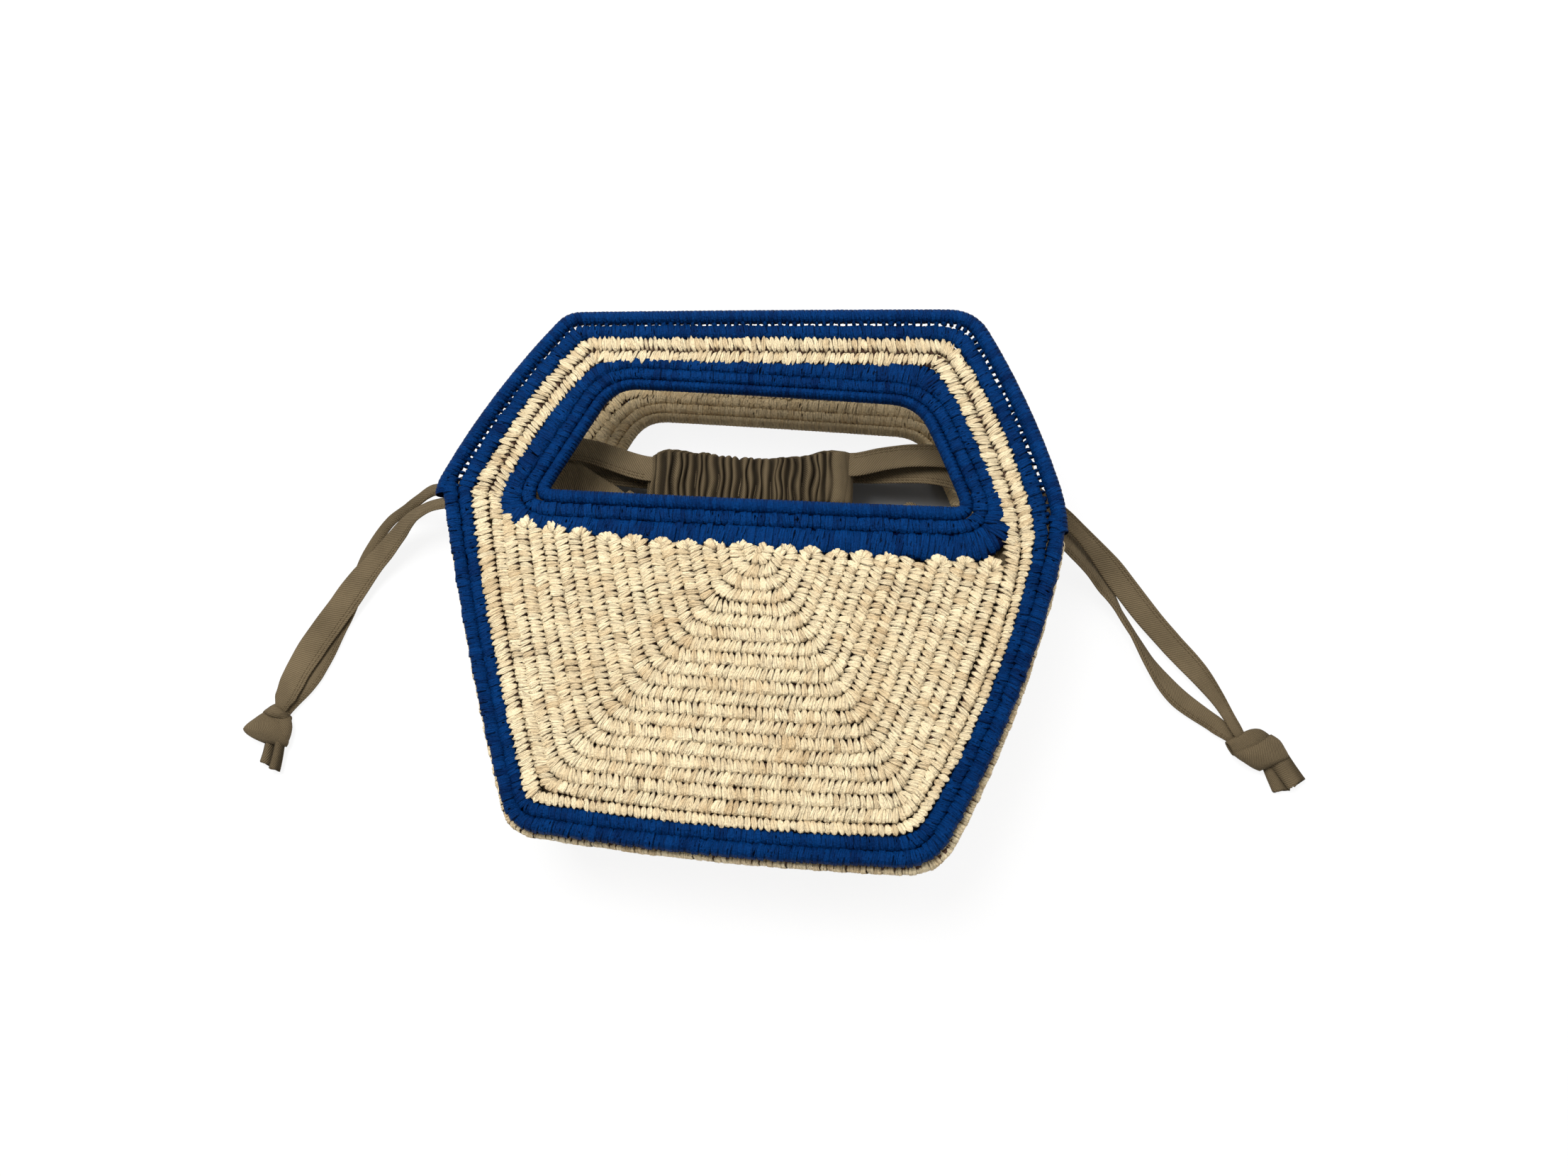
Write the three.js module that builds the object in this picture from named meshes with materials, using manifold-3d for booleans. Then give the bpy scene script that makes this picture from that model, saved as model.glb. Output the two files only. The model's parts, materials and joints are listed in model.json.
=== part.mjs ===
// Raffia bag: two hexagonal panels sewn from coiled raffia, with the handles cut out of
// their upper parts, a raffia gusset, a cotton twill lining with a gathered collar, and two
// flat drawstrings that are knotted at their ends. Millimetres. The bag lies on its back:
// +Z goes up through both panels, +Y runs towards the handles, and the origin is on the
// table under the middle of the body. Front means the upper panel and left means -X.
import * as THREE from 'three';
import Module from 'manifold-3d';
import { mergeVertices } from 'three/addons/utils/BufferGeometryUtils.js';

const wasm = await Module();
wasm.setup();

// Overall sizes.
const bagDepth = 69.6; // over both panels
const panelThickness = 5.6;
const coilThickness = 7;
const seamGap = 0.3; // between pieces that are sewn together

// The front panel's outline, clockwise: where its sides would meet, how far each side bows
// out from the straight line to the next corner, and where each corner's rounding starts.
const outline = [
  { corner: [-106, 133.5], bow: 0.4, cut: 6.8 },
  { corner: [112.5, 139.6], bow: 4.7, cut: 12.9 },
  { corner: [161.7, 25.9], bow: 7.5, cut: 20 },
  { corner: [103.3, -144.9], bow: 3.3, cut: 14.6 },
  { corner: [-98.7, -141.2], bow: 2.8, cut: 11.5 },
  { corner: [-162.2, 33], bow: 4.8, cut: 8 },
];
const [, , RIGHT, BOTTOM_RIGHT, BOTTOM_LEFT, LEFT] = outline.keys();

// The handle opening in the front panel, in the same order.
const opening = [
  { corner: [-80.2, 89], bow: 0.5, cut: 9 },
  { corner: [84.5, 84.7], bow: 0.8, cut: 9 },
  { corner: [109.5, 30.6], bow: 0.6, cut: 8 },
  { corner: [-103.8, 31.9], bow: 0.8, cut: 8 },
];

// The back panel is the same, but the bag leans: it lies this far over from the front panel.
const leanX = 1.5;
const leanY = 9.1;

// Coil rows: their widths across the panel.
const edgeRopeWidth = 7.4;
const outerRowWidth = 7;
const rimWidth = 6.4;
const openingRowWidth = 7.1;
const openingRows = 2;
const coilRound = 2.3;
const panelRound = 1.2;

// The gusset, its lining, and where both stop below the widest corners.
const gussetProud = 2;
const gussetThickness = 5;
const frontSeam = 0.6; // the front panel folds about this seam
const gussetTopDrop = 15;

// The lining.
const clothThickness = 1;
const liningClearance = 0.6;
const liningFoldY = 14; // where the lining leaves the front panel
const shoulderY = 24;
const shoulderIn = 18; // from the gusset's top end in to the lining's shoulder

// The gathered collar, which both drawstrings run round inside.
const collarX = -4;
const collarY = 57;
const collarZ = 26;
const collarTilt = 2.5; // degrees
const collarLength = 112;
const collarBelow = 18; // from its centre line to its lower edge
const collarAbove = 15;
const collarWall = 1.5;
const throatLength = 69;
const throatHeight = 5.2;

// The drawstrings: flat folded twill tape.
const tapeWidth = 14;
const tapeThickness = 1.4;
const outerLoopRadius = 7; // the left drawstring goes round outside the right one
const innerLoopRadius = 5.2;
const tapeClearance = 0.4;
const slitSpare = 0.8; // past each edge of the tape, in the slits at the collar's ends
const loopStart = 42; // from the collar's middle to where the tape's loop starts
const leftRunY = -2.8; // the left tape's place across the collar, at its middle
const leftRunSlope = -0.1145;
const rightRunY = 6;
const knotThickness = 9;

// How the drawstrings lie: x, y, z and roll in degrees, from inside the collar to the knot.
const leftUpperRoute = [
  [-47.4, 57.3, 33, 0], [-62.1, 58.3, 33, 0], [-75, 61.5, 33, 0], [-89, 65.8, 33, 0],
  [-105, 68.5, 33, 0], [-122, 66.5, 33, 0], [-140, 58, 32.5, 0], [-157, 49.5, 31.5, 0],
  [-173.9, 45, 29, 0], [-184.4, 45.9, 24, 0], [-194.1, 43.5, 17, 0], [-204.7, 38.3, 10, 0],
  [-214.2, 32.1, 5.5, 0], [-221.2, 24, 3, 0], [-227.2, 11.1, 1.8, 0], [-230, -3, 1.4, 0],
  [-231.6, -17.9, 1.3, 0], [-234.8, -32.7, 1.3, 0], [-237.9, -47.4, 1.3, 0],
  [-242.7, -62, 1.4, 0], [-250.6, -76.4, 1.8, 0], [-257.5, -85.2, 2.4, 0],
];
const leftLowerRoute = [
  [-47.4, 57.3, 19, 0], [-62.1, 58.3, 19, 0], [-80, 58.9, 21, 0], [-96, 61, 23, 10],
  [-108, 61.5, 24, 25], [-125, 57, 26, 45], [-143, 47, 27, 60], [-160, 39, 27.5, 60],
  [-174.2, 35.5, 27, 60], [-182.7, 33.6, 25.5, 60], [-192.1, 30, 22, 50],
  [-202.1, 22.6, 16, 30], [-212.9, 11.2, 10, 10], [-224.7, -4.7, 6, 0],
  [-233.7, -22, 4.4, 0], [-244.1, -42, 3.9, 0], [-253.1, -61, 3.9, 0],
  [-255.8, -72.6, 4.6, 0], [-258.1, -81.4, 5.4, 0],
];
const rightUpperRoute = [
  [38, 64.8, 31.2, 0], [53.7, 65.5, 31.2, 0], [66, 68.6, 31.6, 0], [80.3, 71, 32, 0],
  [97, 71.5, 32, 0], [114, 69, 32, 0], [131, 61.5, 32, 0], [148, 50.5, 31.5, 0],
  [164.3, 39.9, 30, 0], [170.4, 34.7, 28, 0], [176.9, 30, 23, 0], [188.5, 20.1, 14, 0],
  [199.7, 7.9, 8, 0], [210.4, -4.7, 5, 0], [222.8, -18.7, 3.8, 0], [234.9, -31.9, 3.6, 0],
  [244.5, -45.2, 4.4, 0], [250.2, -55.2, 5, 0], [254.1, -62.5, 5.6, 0],
];
const rightLowerRoute = [
  [38, 64.8, 20.8, 0], [53.7, 65.5, 20.8, 0], [65.3, 65.3, 22, 0], [84.4, 65.5, 24.5, 0],
  [101.3, 63.5, 26.5, 0], [117, 58, 27, 0], [134, 48, 27, 0], [150, 38.5, 27, -10],
  [163.8, 30.5, 25, -30], [172.1, 23.5, 20.5, -40], [181.6, 15.2, 14, -40],
  [188.1, 7.6, 10, -45], [194.7, -2.9, 8.4, -60], [202.4, -15.2, 7.6, -60],
  [210.7, -29.1, 6.2, -40], [218, -38.6, 4, -20], [226.9, -47.2, 2.3, -6],
  [236.3, -53.8, 1.8, 0], [243.6, -58.6, 2, 0], [250.7, -64.2, 2.4, 0],
];

// The knots and their tails, as outlines seen from above.
const leftKnot = [
  [-271.6, -83.1], [-265.1, -79.8], [-255.5, -87.7], [-252.7, -97], [-254, -103],
  [-264.2, -102.5], [-279.6, -95.1],
];
const leftTails = [
  [[-268.4, -100.9], [-264.6, -102.8], [-261, -103.1], [-260.6, -115.4], [-268, -113.2]],
  [[-260.4, -103.1], [-254.8, -103.4], [-253.8, -115.9], [-260, -116.6]],
];
const rightKnot = [
  [249, -67.1], [257.8, -60.8], [265.5, -59.9], [273, -63.1], [278.5, -73.9],
  [271.6, -76.1], [266.3, -81.1], [259.1, -78], [253.4, -73.3],
];
const rightTails = [
  [[266.9, -81.1], [270.9, -77.3], [277.4, -88.8], [273.9, -92.2]],
  [[272.2, -76.3], [278.3, -74.4], [287.2, -83.6], [281.4, -90.2]],
];
const tailHeights = [0.4, 2.6];

const raffia = { color: 0xd9c08f, roughness: 0.75, metalness: 0 };
const blueRaffia = { color: 0x0b4a96, roughness: 0.6, metalness: 0 };
const twill = { color: 0x7d6e50, roughness: 0.9, metalness: 0 };

const bag = new THREE.Group();

function addPiece(name, geometry, finish, parent = bag) {
  const mesh = new THREE.Mesh(geometry, new THREE.MeshStandardMaterial(finish));
  mesh.name = name;
  parent.add(mesh);
  return mesh;
}

// An outline's points with its sides moved in by inset. Each corner is a quadratic curve and
// each side a shallow arc, so the same place on two insets has the same number.
const cornerSteps = 3;
const sideSteps = 4;
const pointsPerCorner = cornerSteps + sideSteps;

function insetOutline(shape, inset) {
  const count = shape.length;
  const corners = shape.map((part) => new THREE.Vector2(...part.corner));
  const lines = corners.map((start, i) => {
    const along = corners[(i + 1) % count].clone().sub(start).normalize();
    const inward = new THREE.Vector2(along.y, -along.x);
    return { start: start.clone().addScaledVector(inward, inset), along, inward };
  });
  const moved = lines.map((line, i) => {
    const before = lines[(i + count - 1) % count];
    const across = line.start.clone().sub(before.start);
    const reach = across.cross(line.along) / before.along.cross(line.along);
    return before.start.clone().addScaledVector(before.along, reach);
  });
  const sidePoint = (i, distance) => {
    const start = moved[i];
    const length = start.distanceTo(moved[(i + 1) % count]);
    const share = distance / length;
    const bulge = -4 * shape[i].bow * share * (1 - share);
    const point = start.clone().addScaledVector(lines[i].along, distance);
    return point.addScaledVector(lines[i].inward, bulge);
  };
  const cuts = shape.map((part) => Math.max(part.cut - inset / 3, 2));
  const points = [];
  for (let i = 0; i < count; i += 1) {
    const before = (i + count - 1) % count;
    const lengthBefore = moved[before].distanceTo(moved[i]);
    const length = moved[i].distanceTo(moved[(i + 1) % count]);
    const from = sidePoint(before, lengthBefore - cuts[i]);
    const to = sidePoint(i, cuts[i]);
    const rounding = new THREE.QuadraticBezierCurve(from, moved[i], to);
    points.push(...rounding.getPoints(cornerSteps));
    const end = length - cuts[(i + 1) % count];
    for (let step = 1; step < sideSteps; step += 1) {
      points.push(sidePoint(i, THREE.MathUtils.lerp(cuts[i], end, step / sideSteps)));
    }
  }
  return points;
}

// The stretch of an outline between two of its points, going clockwise.
function stretch(points, first, last) {
  const picked = [];
  for (let i = first; i <= last; i += 1) {
    picked.push(points[i % points.length].clone());
  }
  return picked;
}

// Shortens a stretch by the given lengths at its start and end.
function trimmed(points, atStart, atEnd) {
  const n = points.length;
  const start = points[1].clone().sub(points[0]);
  const end = points[n - 2].clone().sub(points[n - 1]);
  points[0].addScaledVector(start.normalize(), atStart);
  points[n - 1].addScaledVector(end.normalize(), atEnd);
  return points;
}

// A slab of the given outline from one height to another, with its edges rounded.
function slab(shape, bottom, top, round, segments = 2) {
  const geometry = new THREE.ExtrudeGeometry(shape, {
    depth: top - bottom - 2 * round,
    bevelEnabled: round > 0,
    bevelThickness: round,
    bevelSize: round,
    bevelOffset: -round,
    bevelSegments: segments,
  });
  return geometry.translate(0, 0, bottom + round);
}

function ringShape(outer, inner) {
  const shape = new THREE.Shape(outer);
  shape.holes.push(new THREE.Path([...inner].reverse()));
  return shape;
}

// A band between two insets of the panel's outline, along part of its way round.
function bandShape(outerInset, innerInset, first, last, atStart = 0, atEnd = 0) {
  const outer = trimmed(stretch(insetOutline(outline, outerInset), first, last), atStart, atEnd);
  const inner = trimmed(stretch(insetOutline(outline, innerInset), first, last), atStart, atEnd);
  return new THREE.Shape([...outer, ...inner.reverse()]);
}

// How far the bag has leaned at a height, from the front panel's middle down.
const coilSpan = bagDepth - coilThickness;

function leanAt(z) {
  const share = (bagDepth - coilThickness / 2 - z) / coilSpan;
  return new THREE.Vector2(leanX, leanY).multiplyScalar(share);
}

// A wall between the panels that leans as the bag does.
function leaningWall(shape, bottom, top) {
  const geometry = slab(shape, bottom - top, 0, 0);
  geometry.applyMatrix4(new THREE.Matrix4().makeShear(0, 0, 0, 0, -leanX / coilSpan, -leanY / coilSpan));
  const lean = leanAt(top);
  return geometry.translate(lean.x, lean.y, top);
}

function toSolid(geometry) {
  const bare = geometry.clone();
  bare.deleteAttribute('normal');
  bare.deleteAttribute('uv');
  const merged = mergeVertices(bare, 1e-4);
  return new wasm.Manifold(new wasm.Mesh({
    numProp: 3,
    vertProperties: new Float32Array(merged.attributes.position.array),
    triVerts: new Uint32Array(merged.index.array),
  }));
}

function toGeometry(solid) {
  const mesh = solid.getMesh();
  const geometry = new THREE.BufferGeometry();
  geometry.setAttribute('position', new THREE.BufferAttribute(mesh.vertProperties, 3));
  geometry.setIndex(new THREE.BufferAttribute(mesh.triVerts, 1));
  geometry.computeVertexNormals();
  return geometry;
}

function block(x0, x1, y0, y1, z0, z1) {
  const geometry = new THREE.BoxGeometry(x1 - x0, y1 - y0, z1 - z0);
  return geometry.translate((x0 + x1) / 2, (y0 + y1) / 2, (z0 + z1) / 2);
}

// Widths counted inwards from the panel's edge, and outwards from the handle opening.
const outerRowStart = edgeRopeWidth;
const naturalStart = edgeRopeWidth + outerRowWidth;
const openingRowsEnd = rimWidth + openingRows * openingRowWidth;
const halfGap = seamGap / 2;
const midLeft = LEFT * pointsPerCorner + 1;
const midRight = RIGHT * pointsPerCorner + 1;
const wholeTurn = outline.length * pointsPerCorner;

// The natural part of a panel: the nested rows of the lower body and the two rows that go on
// round the handle. One slab with the opening's rows cut out of it.
function panelBody(z) {
  const outer = insetOutline(outline, naturalStart + halfGap);
  const inner = insetOutline(opening, -openingRowsEnd - halfGap);
  return slab(ringShape(outer, inner), z, z + panelThickness, panelRound, 1);
}

// The rows sewn round the handle opening, outside its rim.
function openingRing(z) {
  const outer = insetOutline(opening, -openingRowsEnd + halfGap);
  const inner = insetOutline(opening, -rimWidth - halfGap);
  return slab(ringShape(outer, inner), z, z + panelThickness, panelRound, 1);
}

// The whipped coil that rims the handle opening.
function openingRim(z) {
  const outer = insetOutline(opening, -rimWidth + halfGap);
  const inner = insetOutline(opening, 0);
  return slab(ringShape(outer, inner), z, z + coilThickness, coilRound);
}

// The row that goes all the way round inside the panel's edge.
function outerRow(z) {
  const outer = insetOutline(outline, outerRowStart + halfGap);
  const inner = insetOutline(outline, naturalStart - halfGap);
  return slab(ringShape(outer, inner), z, z + coilThickness, coilRound);
}

// The thick rope along the three upper edges, from widest corner to widest corner.
function topRope(z) {
  const shape = bandShape(0, edgeRopeWidth - halfGap, midLeft, wholeTurn + midRight, halfGap, halfGap);
  return slab(shape, z, z + coilThickness, coilRound);
}

// The rolled row along the three lower edges, where the gusset is sewn on.
function lowerBinding(z) {
  const shape = bandShape(0, edgeRopeWidth - halfGap, midRight, midLeft, halfGap, halfGap);
  return slab(shape, z, z + coilThickness, coilRound);
}

const frontPanelZ = bagDepth - panelThickness;
const frontCoilZ = bagDepth - coilThickness;

addPiece('front_panel_body', panelBody(frontPanelZ), raffia);
addPiece('front_opening_rows', openingRing(frontPanelZ), blueRaffia);
addPiece('front_opening_rim', openingRim(frontCoilZ), blueRaffia);
addPiece('front_outer_row', outerRow(frontCoilZ), blueRaffia);
addPiece('front_top_rope', topRope(frontCoilZ), blueRaffia);
addPiece('front_lower_binding', lowerBinding(frontCoilZ), blueRaffia);

const backPanel = new THREE.Group();
backPanel.position.set(leanX, leanY, 0);
bag.add(backPanel);
addPiece('back_panel_body', panelBody(0), raffia, backPanel);
addPiece('back_opening_rows', openingRing(0), raffia, backPanel);
addPiece('back_opening_rim', openingRim(0), raffia, backPanel);
addPiece('back_outer_row', outerRow(0), raffia, backPanel);
addPiece('back_top_rope', topRope(0), raffia, backPanel);
addPiece('back_lower_binding', lowerBinding(0), raffia, backPanel);

// The gusset: one strip in the real bag, in three lengths here so that its sides can fold.
const gussetBottom = coilThickness + seamGap;
const gussetTop = frontCoilZ - frontSeam;
const midBottomRight = BOTTOM_RIGHT * pointsPerCorner + 1;
const midBottomLeft = BOTTOM_LEFT * pointsPerCorner + 1;

function gussetWall(first, last, atStart, atEnd) {
  const shape = bandShape(-gussetProud, gussetThickness - gussetProud, first, last, atStart, atEnd);
  return leaningWall(shape, gussetBottom, gussetTop);
}

const firstOnRight = midRight + 2;
const lastOnLeft = LEFT * pointsPerCorner;
addPiece('gusset_right', gussetWall(firstOnRight, midBottomRight, gussetTopDrop / 3, halfGap), raffia);
addPiece('gusset_bottom', gussetWall(midBottomRight, midBottomLeft, halfGap, halfGap), raffia);
addPiece('gusset_left', gussetWall(midBottomLeft, lastOnLeft, halfGap, gussetTopDrop), raffia);

// The collar: a flat oval tube of cloth on edge. The drawstrings run round inside it and the
// mouth of the lining goes through its middle. Each end has two slits for the tapes.
const collar = new THREE.Group();
collar.position.set(collarX, collarY, collarZ);
collar.rotation.z = THREE.MathUtils.degToRad(collarTilt);
bag.add(collar);

const channelOuter = outerLoopRadius + tapeThickness / 2 + tapeClearance;
const channelInner = innerLoopRadius - tapeThickness / 2 - tapeClearance;
const collarHalfHeight = channelOuter + collarWall;
const collarHalf = collarLength / 2;

// A flat oval of the given half length and half height, extruded across the collar.
function ovalBar(halfLength, halfHeight, low, high) {
  const shape = new THREE.Shape();
  const reach = halfLength - halfHeight;
  shape.absarc(reach, 0, halfHeight, -Math.PI / 2, Math.PI / 2, false);
  shape.absarc(-reach, 0, halfHeight, Math.PI / 2, 1.5 * Math.PI, false);
  const geometry = new THREE.ExtrudeGeometry(shape, { depth: high - low, bevelEnabled: false, curveSegments: 8 });
  return alongCollar(geometry).translate(0, high, 0);
}

// Turns a shape drawn in x and z, extruded by its depth, to run down from y = 0.
function alongCollar(geometry) {
  const turn = new THREE.Matrix4().makeBasis(
    new THREE.Vector3(1, 0, 0),
    new THREE.Vector3(0, 0, 1),
    new THREE.Vector3(0, -1, 0),
  );
  return geometry.applyMatrix4(turn);
}

function collarSolid() {
  const low = -collarBelow;
  const high = collarAbove;
  const throatHalf = throatLength / 2;
  const sleeveHalf = throatHalf + collarWall;
  const past = 1; // how far each cut runs past the face that it opens
  const body = toSolid(ovalBar(collarHalf, collarHalfHeight, low, high));
  const channel = toSolid(ovalBar(collarHalf - collarWall, channelOuter, low + collarWall, high - collarWall));
  const sleeve = toSolid(block(-sleeveHalf, sleeveHalf, low, high, -channelInner, channelInner));
  const throat = toSolid(block(
    -throatHalf, throatHalf, low - past, high + past, -throatHeight / 2, throatHeight / 2,
  ));
  let solid = body.subtract(channel.subtract(sleeve)).subtract(throat);
  const halfSlit = tapeWidth / 2 + tapeClearance + slitSpare;
  const leftMiddle = leftRunY - leftRunSlope * (loopStart + collarHalf) / 2;
  const leftHalfSlit = halfSlit + Math.abs(leftRunSlope) * (collarHalf - loopStart) / 2;
  const slits = [
    [-1, leftMiddle, leftHalfSlit, outerLoopRadius],
    [1, rightRunY, halfSlit, innerLoopRadius],
  ];
  for (const [side, middle, halfWide, level] of slits) {
    const from = side < 0 ? -collarHalf - past : collarHalf - channelOuter - collarWall;
    const to = side < 0 ? -collarHalf + channelOuter + collarWall : collarHalf + past;
    for (const sign of [-1, 1]) {
      const z = sign * level;
      const half = tapeThickness / 2 + tapeClearance;
      const slit = block(from, to, middle - halfWide, middle + halfWide, z - half, z + half);
      solid = solid.subtract(toSolid(slit));
    }
  }
  return solid;
}

const wholeCollar = collarSolid();
for (const [name, z0, z1] of [
  ['collar_front', halfGap, 2 * collarHalfHeight],
  ['collar_back', -2 * collarHalfHeight, -halfGap],
]) {
  const half = block(-collarLength, collarLength, -collarLength, collarLength, z0, z1);
  addPiece(name, toGeometry(wholeCollar.intersect(toSolid(half))), twill, collar);
}

// The part of a drawstring inside the collar: out along the front, round the far end and back.
function drawstringLoop(radius, middleY, slope) {
  const far = collarHalf - collarWall - tapeClearance - radius - tapeThickness / 2;
  const outer = radius + tapeThickness / 2;
  const inner = radius - tapeThickness / 2;
  const shape = new THREE.Shape();
  shape.moveTo(-loopStart, -outer);
  shape.lineTo(far, -outer);
  shape.absarc(far, 0, outer, -Math.PI / 2, Math.PI / 2, false);
  shape.lineTo(-loopStart, outer);
  shape.lineTo(-loopStart, inner);
  shape.lineTo(far, inner);
  shape.absarc(far, 0, inner, Math.PI / 2, -Math.PI / 2, true);
  shape.lineTo(-loopStart, -inner);
  const geometry = new THREE.ExtrudeGeometry(shape, { depth: tapeWidth, bevelEnabled: false, curveSegments: 6 });
  alongCollar(geometry).translate(0, tapeWidth / 2, 0);
  geometry.applyMatrix4(new THREE.Matrix4().makeShear(slope, 0, 0, 0, 0, 0));
  return geometry.translate(0, middleY, 0);
}

addPiece('left_drawstring_loop', drawstringLoop(outerLoopRadius, leftRunY, leftRunSlope), twill, collar);
const rightLoop = drawstringLoop(innerLoopRadius, -rightRunY, 0).rotateZ(Math.PI);
addPiece('right_drawstring_loop', rightLoop, twill, collar);

// A route for a flat tape: the tape lies level across it, turned about it by the roll.
class TapeRoute extends THREE.CatmullRomCurve3 {
  constructor(route) {
    super(route.map(([x, y, z]) => new THREE.Vector3(x, y, z)), false, 'centripetal');
    this.rolls = route.map((point) => point[3]);
  }

  computeFrenetFrames(segments) {
    const frames = { tangents: [], normals: [], binormals: [] };
    const up = new THREE.Vector3(0, 0, 1);
    for (let i = 0; i <= segments; i += 1) {
      const t = this.getUtoTmapping(i / segments) * (this.rolls.length - 1);
      const before = Math.min(Math.floor(t), this.rolls.length - 2);
      const roll = THREE.MathUtils.lerp(this.rolls[before], this.rolls[before + 1], t - before);
      const tangent = this.getTangentAt(i / segments);
      const across = tangent.clone().cross(up).normalize();
      const normal = across.clone().cross(tangent);
      normal.applyAxisAngle(tangent, THREE.MathUtils.degToRad(roll));
      frames.tangents.push(tangent);
      frames.normals.push(normal);
      frames.binormals.push(tangent.clone().cross(normal));
    }
    return frames;
  }
}

// The tape's section has its long edges cut a little, as a folded and stitched tape's are.
function tapeSection() {
  const halfThick = tapeThickness / 2;
  const halfWide = tapeWidth / 2;
  const edge = tapeThickness / 4;
  return new THREE.Shape([
    new THREE.Vector2(halfThick, -halfWide + edge),
    new THREE.Vector2(halfThick, halfWide - edge),
    new THREE.Vector2(halfThick - edge, halfWide),
    new THREE.Vector2(-halfThick + edge, halfWide),
    new THREE.Vector2(-halfThick, halfWide - edge),
    new THREE.Vector2(-halfThick, -halfWide + edge),
    new THREE.Vector2(-halfThick + edge, -halfWide),
    new THREE.Vector2(halfThick - edge, -halfWide),
  ]);
}

const tapeStepsPerPoint = 2;

function tape(route) {
  return new THREE.ExtrudeGeometry(tapeSection(), {
    steps: tapeStepsPerPoint * (route.length - 1),
    extrudePath: new TapeRoute(route),
    bevelEnabled: false,
  });
}

function flatPiece(points, bottom, top, round) {
  const shape = new THREE.Shape(points.map(([x, y]) => new THREE.Vector2(x, y)));
  return slab(shape, bottom, top, round);
}

const sides = [
  ['left', leftUpperRoute, leftLowerRoute, leftKnot, leftTails],
  ['right', rightUpperRoute, rightLowerRoute, rightKnot, rightTails],
];
for (const [side, upper, lower, knot, tails] of sides) {
  addPiece(`${side}_drawstring_upper_strand`, tape(upper), twill);
  addPiece(`${side}_drawstring_lower_strand`, tape(lower), twill);
  addPiece(`${side}_knot`, flatPiece(knot, 0, knotThickness, 2), twill);
  tails.forEach((tail, i) => {
    const z = tailHeights[i];
    addPiece(`${side}_tail_${i + 1}`, flatPiece(tail, z, z + tapeThickness, 0), twill);
  });
}

// The lining's sheets follow the panels and leave them for the collar.
function point(localX, localY) {
  const turned = new THREE.Vector2(localX, localY);
  turned.rotateAround(new THREE.Vector2(), THREE.MathUtils.degToRad(collarTilt));
  return turned.add(new THREE.Vector2(collarX, collarY));
}

const liningInset = gussetThickness - gussetProud + liningClearance;
const liningFrontZ = frontCoilZ - seamGap - clothThickness;
const liningBackZ = coilThickness + seamGap;

// Seen from above, a sheet fills the lower body and narrows to the collar's lower edge.
function liningPlan(lean) {
  const edge = stretch(insetOutline(outline, liningInset), midRight + 2, LEFT * pointsPerCorner);
  const body = edge.map((corner) => corner.add(lean));
  const neck = [
    new THREE.Vector2(body[body.length - 1].x + shoulderIn, shoulderY),
    point(-collarHalf + 2, -collarBelow - seamGap),
    point(collarHalf - 2, -collarBelow - seamGap),
    new THREE.Vector2(body[0].x - shoulderIn, shoulderY),
  ];
  return new THREE.Shape([...body, ...neck]);
}

// Seen from the side, it follows the panel at panelZ, then slants to the collar at neckZ.
function liningProfile(panelZ, neckZ) {
  const far = 400;
  const lean = leanAt(panelZ).y;
  const bend = [
    [-far, panelZ], [liningFoldY + lean, panelZ], [shoulderY + lean, (2 * panelZ + neckZ) / 3],
    [collarY - collarBelow, neckZ], [far, neckZ],
  ];
  const top = bend.map(([y, z]) => new THREE.Vector2(y, z + clothThickness));
  const bottom = bend.map(([y, z]) => new THREE.Vector2(y, z)).reverse();
  const geometry = new THREE.ExtrudeGeometry(
    new THREE.Shape([...top, ...bottom]),
    { depth: 2 * far, bevelEnabled: false },
  );
  const turn = new THREE.Matrix4().makeBasis(
    new THREE.Vector3(0, 1, 0),
    new THREE.Vector3(0, 0, 1),
    new THREE.Vector3(1, 0, 0),
  );
  return geometry.applyMatrix4(turn).translate(-far, 0, 0);
}

function liningSheet(panelZ, neckZ) {
  const plan = slab(liningPlan(leanAt(panelZ)), -1, bagDepth + 1, 0);
  const sheet = toSolid(liningProfile(panelZ, neckZ)).intersect(toSolid(plan));
  return toGeometry(sheet);
}

const neckOffset = throatHeight / 2 + collarWall;
addPiece('lining_front', liningSheet(liningFrontZ, collarZ + neckOffset), twill);
addPiece('lining_back', liningSheet(liningBackZ, collarZ - neckOffset - clothThickness), twill);

// The lining's own gusset, between its two sheets and inside the raffia one.
const liningWall = bandShape(
  liningInset, liningInset + clothThickness, firstOnRight, lastOnLeft, gussetTopDrop / 3, gussetTopDrop,
);
addPiece(
  'lining_gusset',
  leaningWall(liningWall, liningBackZ + clothThickness + seamGap, liningFrontZ - seamGap),
  twill,
);

export default bag;
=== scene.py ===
import functools
import json
import math
import random

import bmesh
import bpy
from mathutils import Matrix, Vector

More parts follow.
